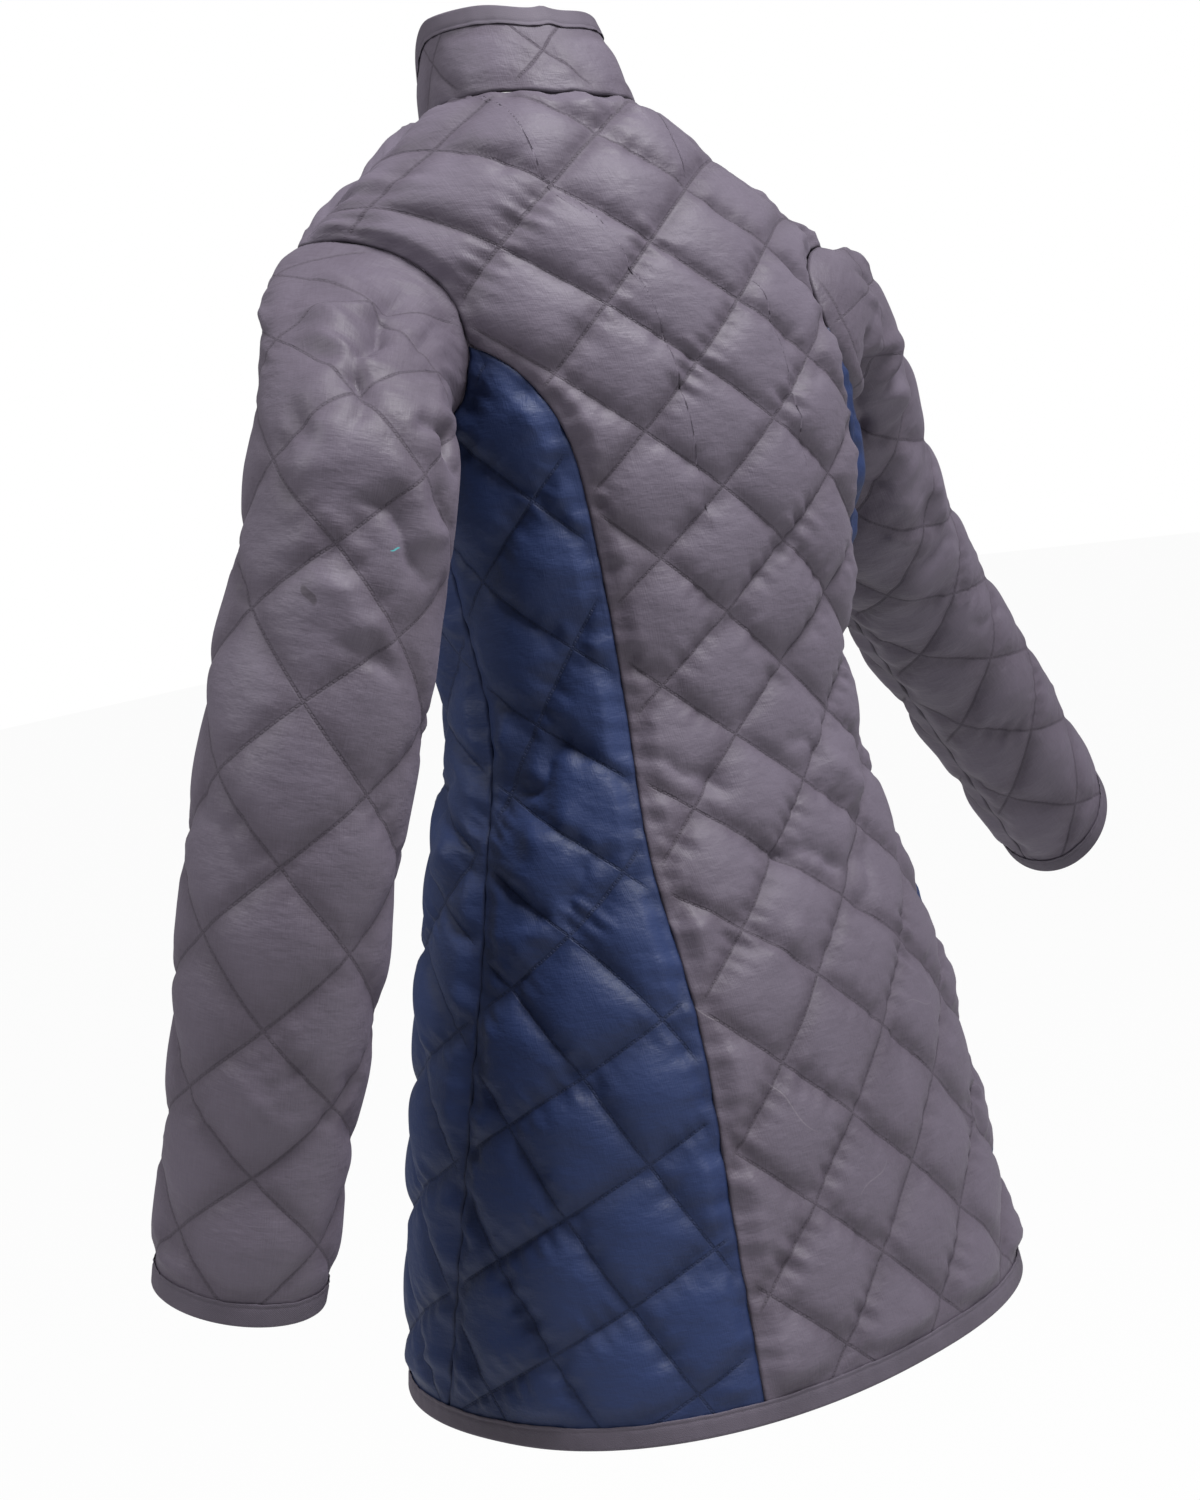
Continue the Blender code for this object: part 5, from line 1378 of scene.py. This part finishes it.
for side in "LR":
    flip = flips[side]
    bottom = hemLine(backSeams[side][0, 0], sideSeam[0, 0])
    edges = (bottom, holeBackLow[::-1], backSeams[side], sideSeam)
    makePanel("sideBackPanel" + side, "side_back_" + side, edges, bodyAt, quiltSide, sideBackLook, navySateen,
              flip, straight=sideSeam * flip)
    edges = (hemLine(sideSeam[0, 0], frontSeam[0, 0]), holeFrontLow, sideSeam, frontSeam)
    makePanel("sideFrontPanel" + side, "side_front_" + side, edges, bodyAt, quiltSide, sideFrontLook,
              navySateen, flip,
              straight=sideSeam * flip)
    bottom = hemLine(frontSeam[0, 0], opening[0, 0])
    top = np.concatenate([shoulderSeam(True), neckFront[1:]])
    left = np.concatenate([frontSeam, holeFrontHigh[1:]])
    edges = (bottom, top, left, opening)
    makePanel("frontPanel" + side, "front_" + side, edges, bodyAt, quiltFront, frontLook, greySateen,
              flip, bound=fromHemOrOpening, straight=opening * flip)
print("side and front panels made")

sleeves = {side: Sleeve(side) for side in "LR"}
for side, sleeve in sleeves.items():
    makePanel("sleeve" + side, "sleeve_" + side, sleeve.edges(), sleeve.at, quiltSleeve, sleeveLook[side],
              leftSateen if side == "L" else greySateen,
              turned=sleeve.turned, shape=sleeve.pressed)
print("sleeves made")

neckCollar = Collar()
makePanel("standCollar", "collar", neckCollar.edges(), neckCollar.at, quiltCollar, collarLook, greySateen,
          finest=cloth["collarFinest"],
          bound=lambda st: neckCollar.top(st[:, 0]) - st[:, 1])
print("collar made")

# tapes on the edges


def edgeTape(name, node, surface, line, inwards, seed, turned=1.0, closed=False, lower=0.0):
    # a tape along a line of the surface, towards line + inwards
    edge = surface(line)
    piece, total = foldedTape(name, node, edge, unit(surface(line + inwards) - edge),
                              facing(surface, line - [0, lower], turned), closed, seed)


hem = evenly(hemLine(-opening[0, 0], opening[0, 0]), tape["step"])
edgeTape("hemTape", "hem_binding", bodyAt, hem, [0, 0.01], 1)
for side in "LR":
    flip, sleeve = flips[side], sleeves[side]
    line = opening[(opening[:, 1] > cloth["band"]) & (opening[:, 1] < opening[-1, 1] - 0.004)]
    edgeTape("frontTape" + side, "front_binding_" + side, bodyAt, evenly(line, tape["step"]) * flip,
             [-0.01 * flip[0], 0], 2)
    cuff = evenly(np.array([(-sleeve.half[0], 0.0), (sleeve.half[0], 0.0)]), tape["step"])[:-1]
    edgeTape("cuffTape" + side, "cuff_binding_" + side, sleeve.at, cuff, [0, 0.01], 3,
             sleeve.turned, closed=True)
collarTop = evenly(neckCollar.edges()[1], tape["step"])
edgeTape("collarTape", "collar_binding", neckCollar.at, collarTop, [0, -0.01], 4, lower=0.002)
print("tapes made")

# floor, light and camera

studio = {
    "floor": -1.50,
    "reach": 14.0,          # from the middle of the floor to its sides
    "pale": 0.72,           # floor's colour
    "seenWhite": 0.96,      # share of plain white in the floor as the camera sees it
    "world": 0.25,          # light from all round
    "seenWorld": 1.0,       # the same as the camera sees it
}
lamps = {                   # place, watts, size
    "key": ((2.6, -0.7, 1.7), 66.0, 1.3),
    "fill": ((-0.6, 2.8, 0.3), 14.0, 2.0),
    "top": ((-0.3, 1.5, 2.1), 140.0, 1.1),
}
lampAim = (0.0, 0.0, -0.4)


def stood(name, data, right, up, behind, place):
    # an object at the place, its own axes turned to right, up and behind
    made = bpy.data.objects.new(name, data)
    made.matrix_world = Matrix([[right[k], up[k], behind[k], place[k]] for k in range(3)] + [[0, 0, 0, 1]])
    bpy.context.scene.collection.objects.link(made)
    return made


def lamp(name, place, power, size):
    # a square light that faces the aim
    light = bpy.data.lights.new(name, "AREA")
    light.energy, light.size = power, size
    behind = unit(np.array(place) - np.array(lampAim))
    right = unit(np.cross([0, 0, 1.0], behind))
    stood(name, light, right, np.cross(behind, right), behind, place)


floorMesh = bpy.data.meshes.new("floor")
floorX, floorY = np.meshgrid(*[np.linspace(-studio["reach"], studio["reach"], 15)] * 2)
index = np.arange(floorX.size).reshape(floorX.shape)
floorFaces = np.stack([index[:-1, :-1], index[:-1, 1:], index[1:, 1:], index[1:, :-1]], -1).reshape(-1, 4)
floorPoints = np.stack([floorX, floorY, 0 * floorX + studio["floor"]], -1).reshape(-1, 3)
floorMesh.from_pydata(floorPoints.tolist(), [], floorFaces.tolist())
floor = bpy.data.objects.new("floor", floorMesh)
bpy.context.scene.collection.objects.link(floor)
made, tree = newMaterial("paleFloor")
plain = nodeWith(tree, "ShaderNodeBsdfPrincipled", None,
                 {"Base Color": (studio["pale"],) * 3 + (1.0,), "Roughness": 0.9, "Specular IOR Level": 0.1})
white = nodeWith(tree, "ShaderNodeEmission", None, {"Color": (1.0, 1.0, 1.0, 1.0), "Strength": 1.0})
seen = nodeWith(tree, "ShaderNodeLightPath")
lit = nodeWith(tree, "ShaderNodeMixShader", None, {0: seen * studio["seenWhite"], 1: plain, 2: white})
nodeWith(tree, "ShaderNodeOutputMaterial", None, {"Surface": lit})
floorMesh.materials.append(made)

world = bpy.data.worlds.new("paleStudio")
world.use_nodes = True
tree = world.node_tree
tree.nodes.clear()
strength = nodeWith(tree, "ShaderNodeLightPath") * (studio["seenWorld"] - studio["world"]) + studio["world"]
sky = nodeWith(tree, "ShaderNodeBackground", None, {"Color": (1.0, 1.0, 1.0, 1.0), "Strength": strength})
nodeWith(tree, "ShaderNodeOutputWorld", None, {"Surface": sky})
bpy.context.scene.world = world
for name, (place, power, size) in lamps.items():
    lamp(name, place, power, size)
bpy.context.scene.view_settings.view_transform = "Standard"

view = {
    "turn": 135.2026,       # degrees round from the front
    "rise": 6.2358,
    "roll": -9.2467,
    "aim": (0.0, 0.0, -0.424),
    "away": 1.8079,
    "lens": 66.0,           # millimetres, on a sensor 36 wide
    "shift": (-31.25 / 1500, -21.07 / 1500),    # pixels over the photograph's height
}


def placeCamera():
    # stands away from the aim along its turn and rise, rolled about its own axis
    turn, rise, roll = (np.radians(view[k]) for k in ("turn", "rise", "roll"))
    behind = np.array([np.sin(turn) * np.cos(rise), -np.cos(turn) * np.cos(rise), np.sin(rise)])
    right = unit(np.cross(-behind, [0, 0, 1.0]))
    up = np.cross(right, -behind)
    data = bpy.data.cameras.new("camera")
    data.sensor_width, data.lens = 36.0, view["lens"]
    data.shift_x, data.shift_y = view["shift"]
    bpy.context.scene.camera = stood("camera", data, right * np.cos(roll) + up * np.sin(roll),
                                     -right * np.sin(roll) + up * np.cos(roll), behind,
                                     np.array(view["aim"]) + behind * view["away"])


placeCamera()
bpy.context.view_layer.update()
print("scene made")
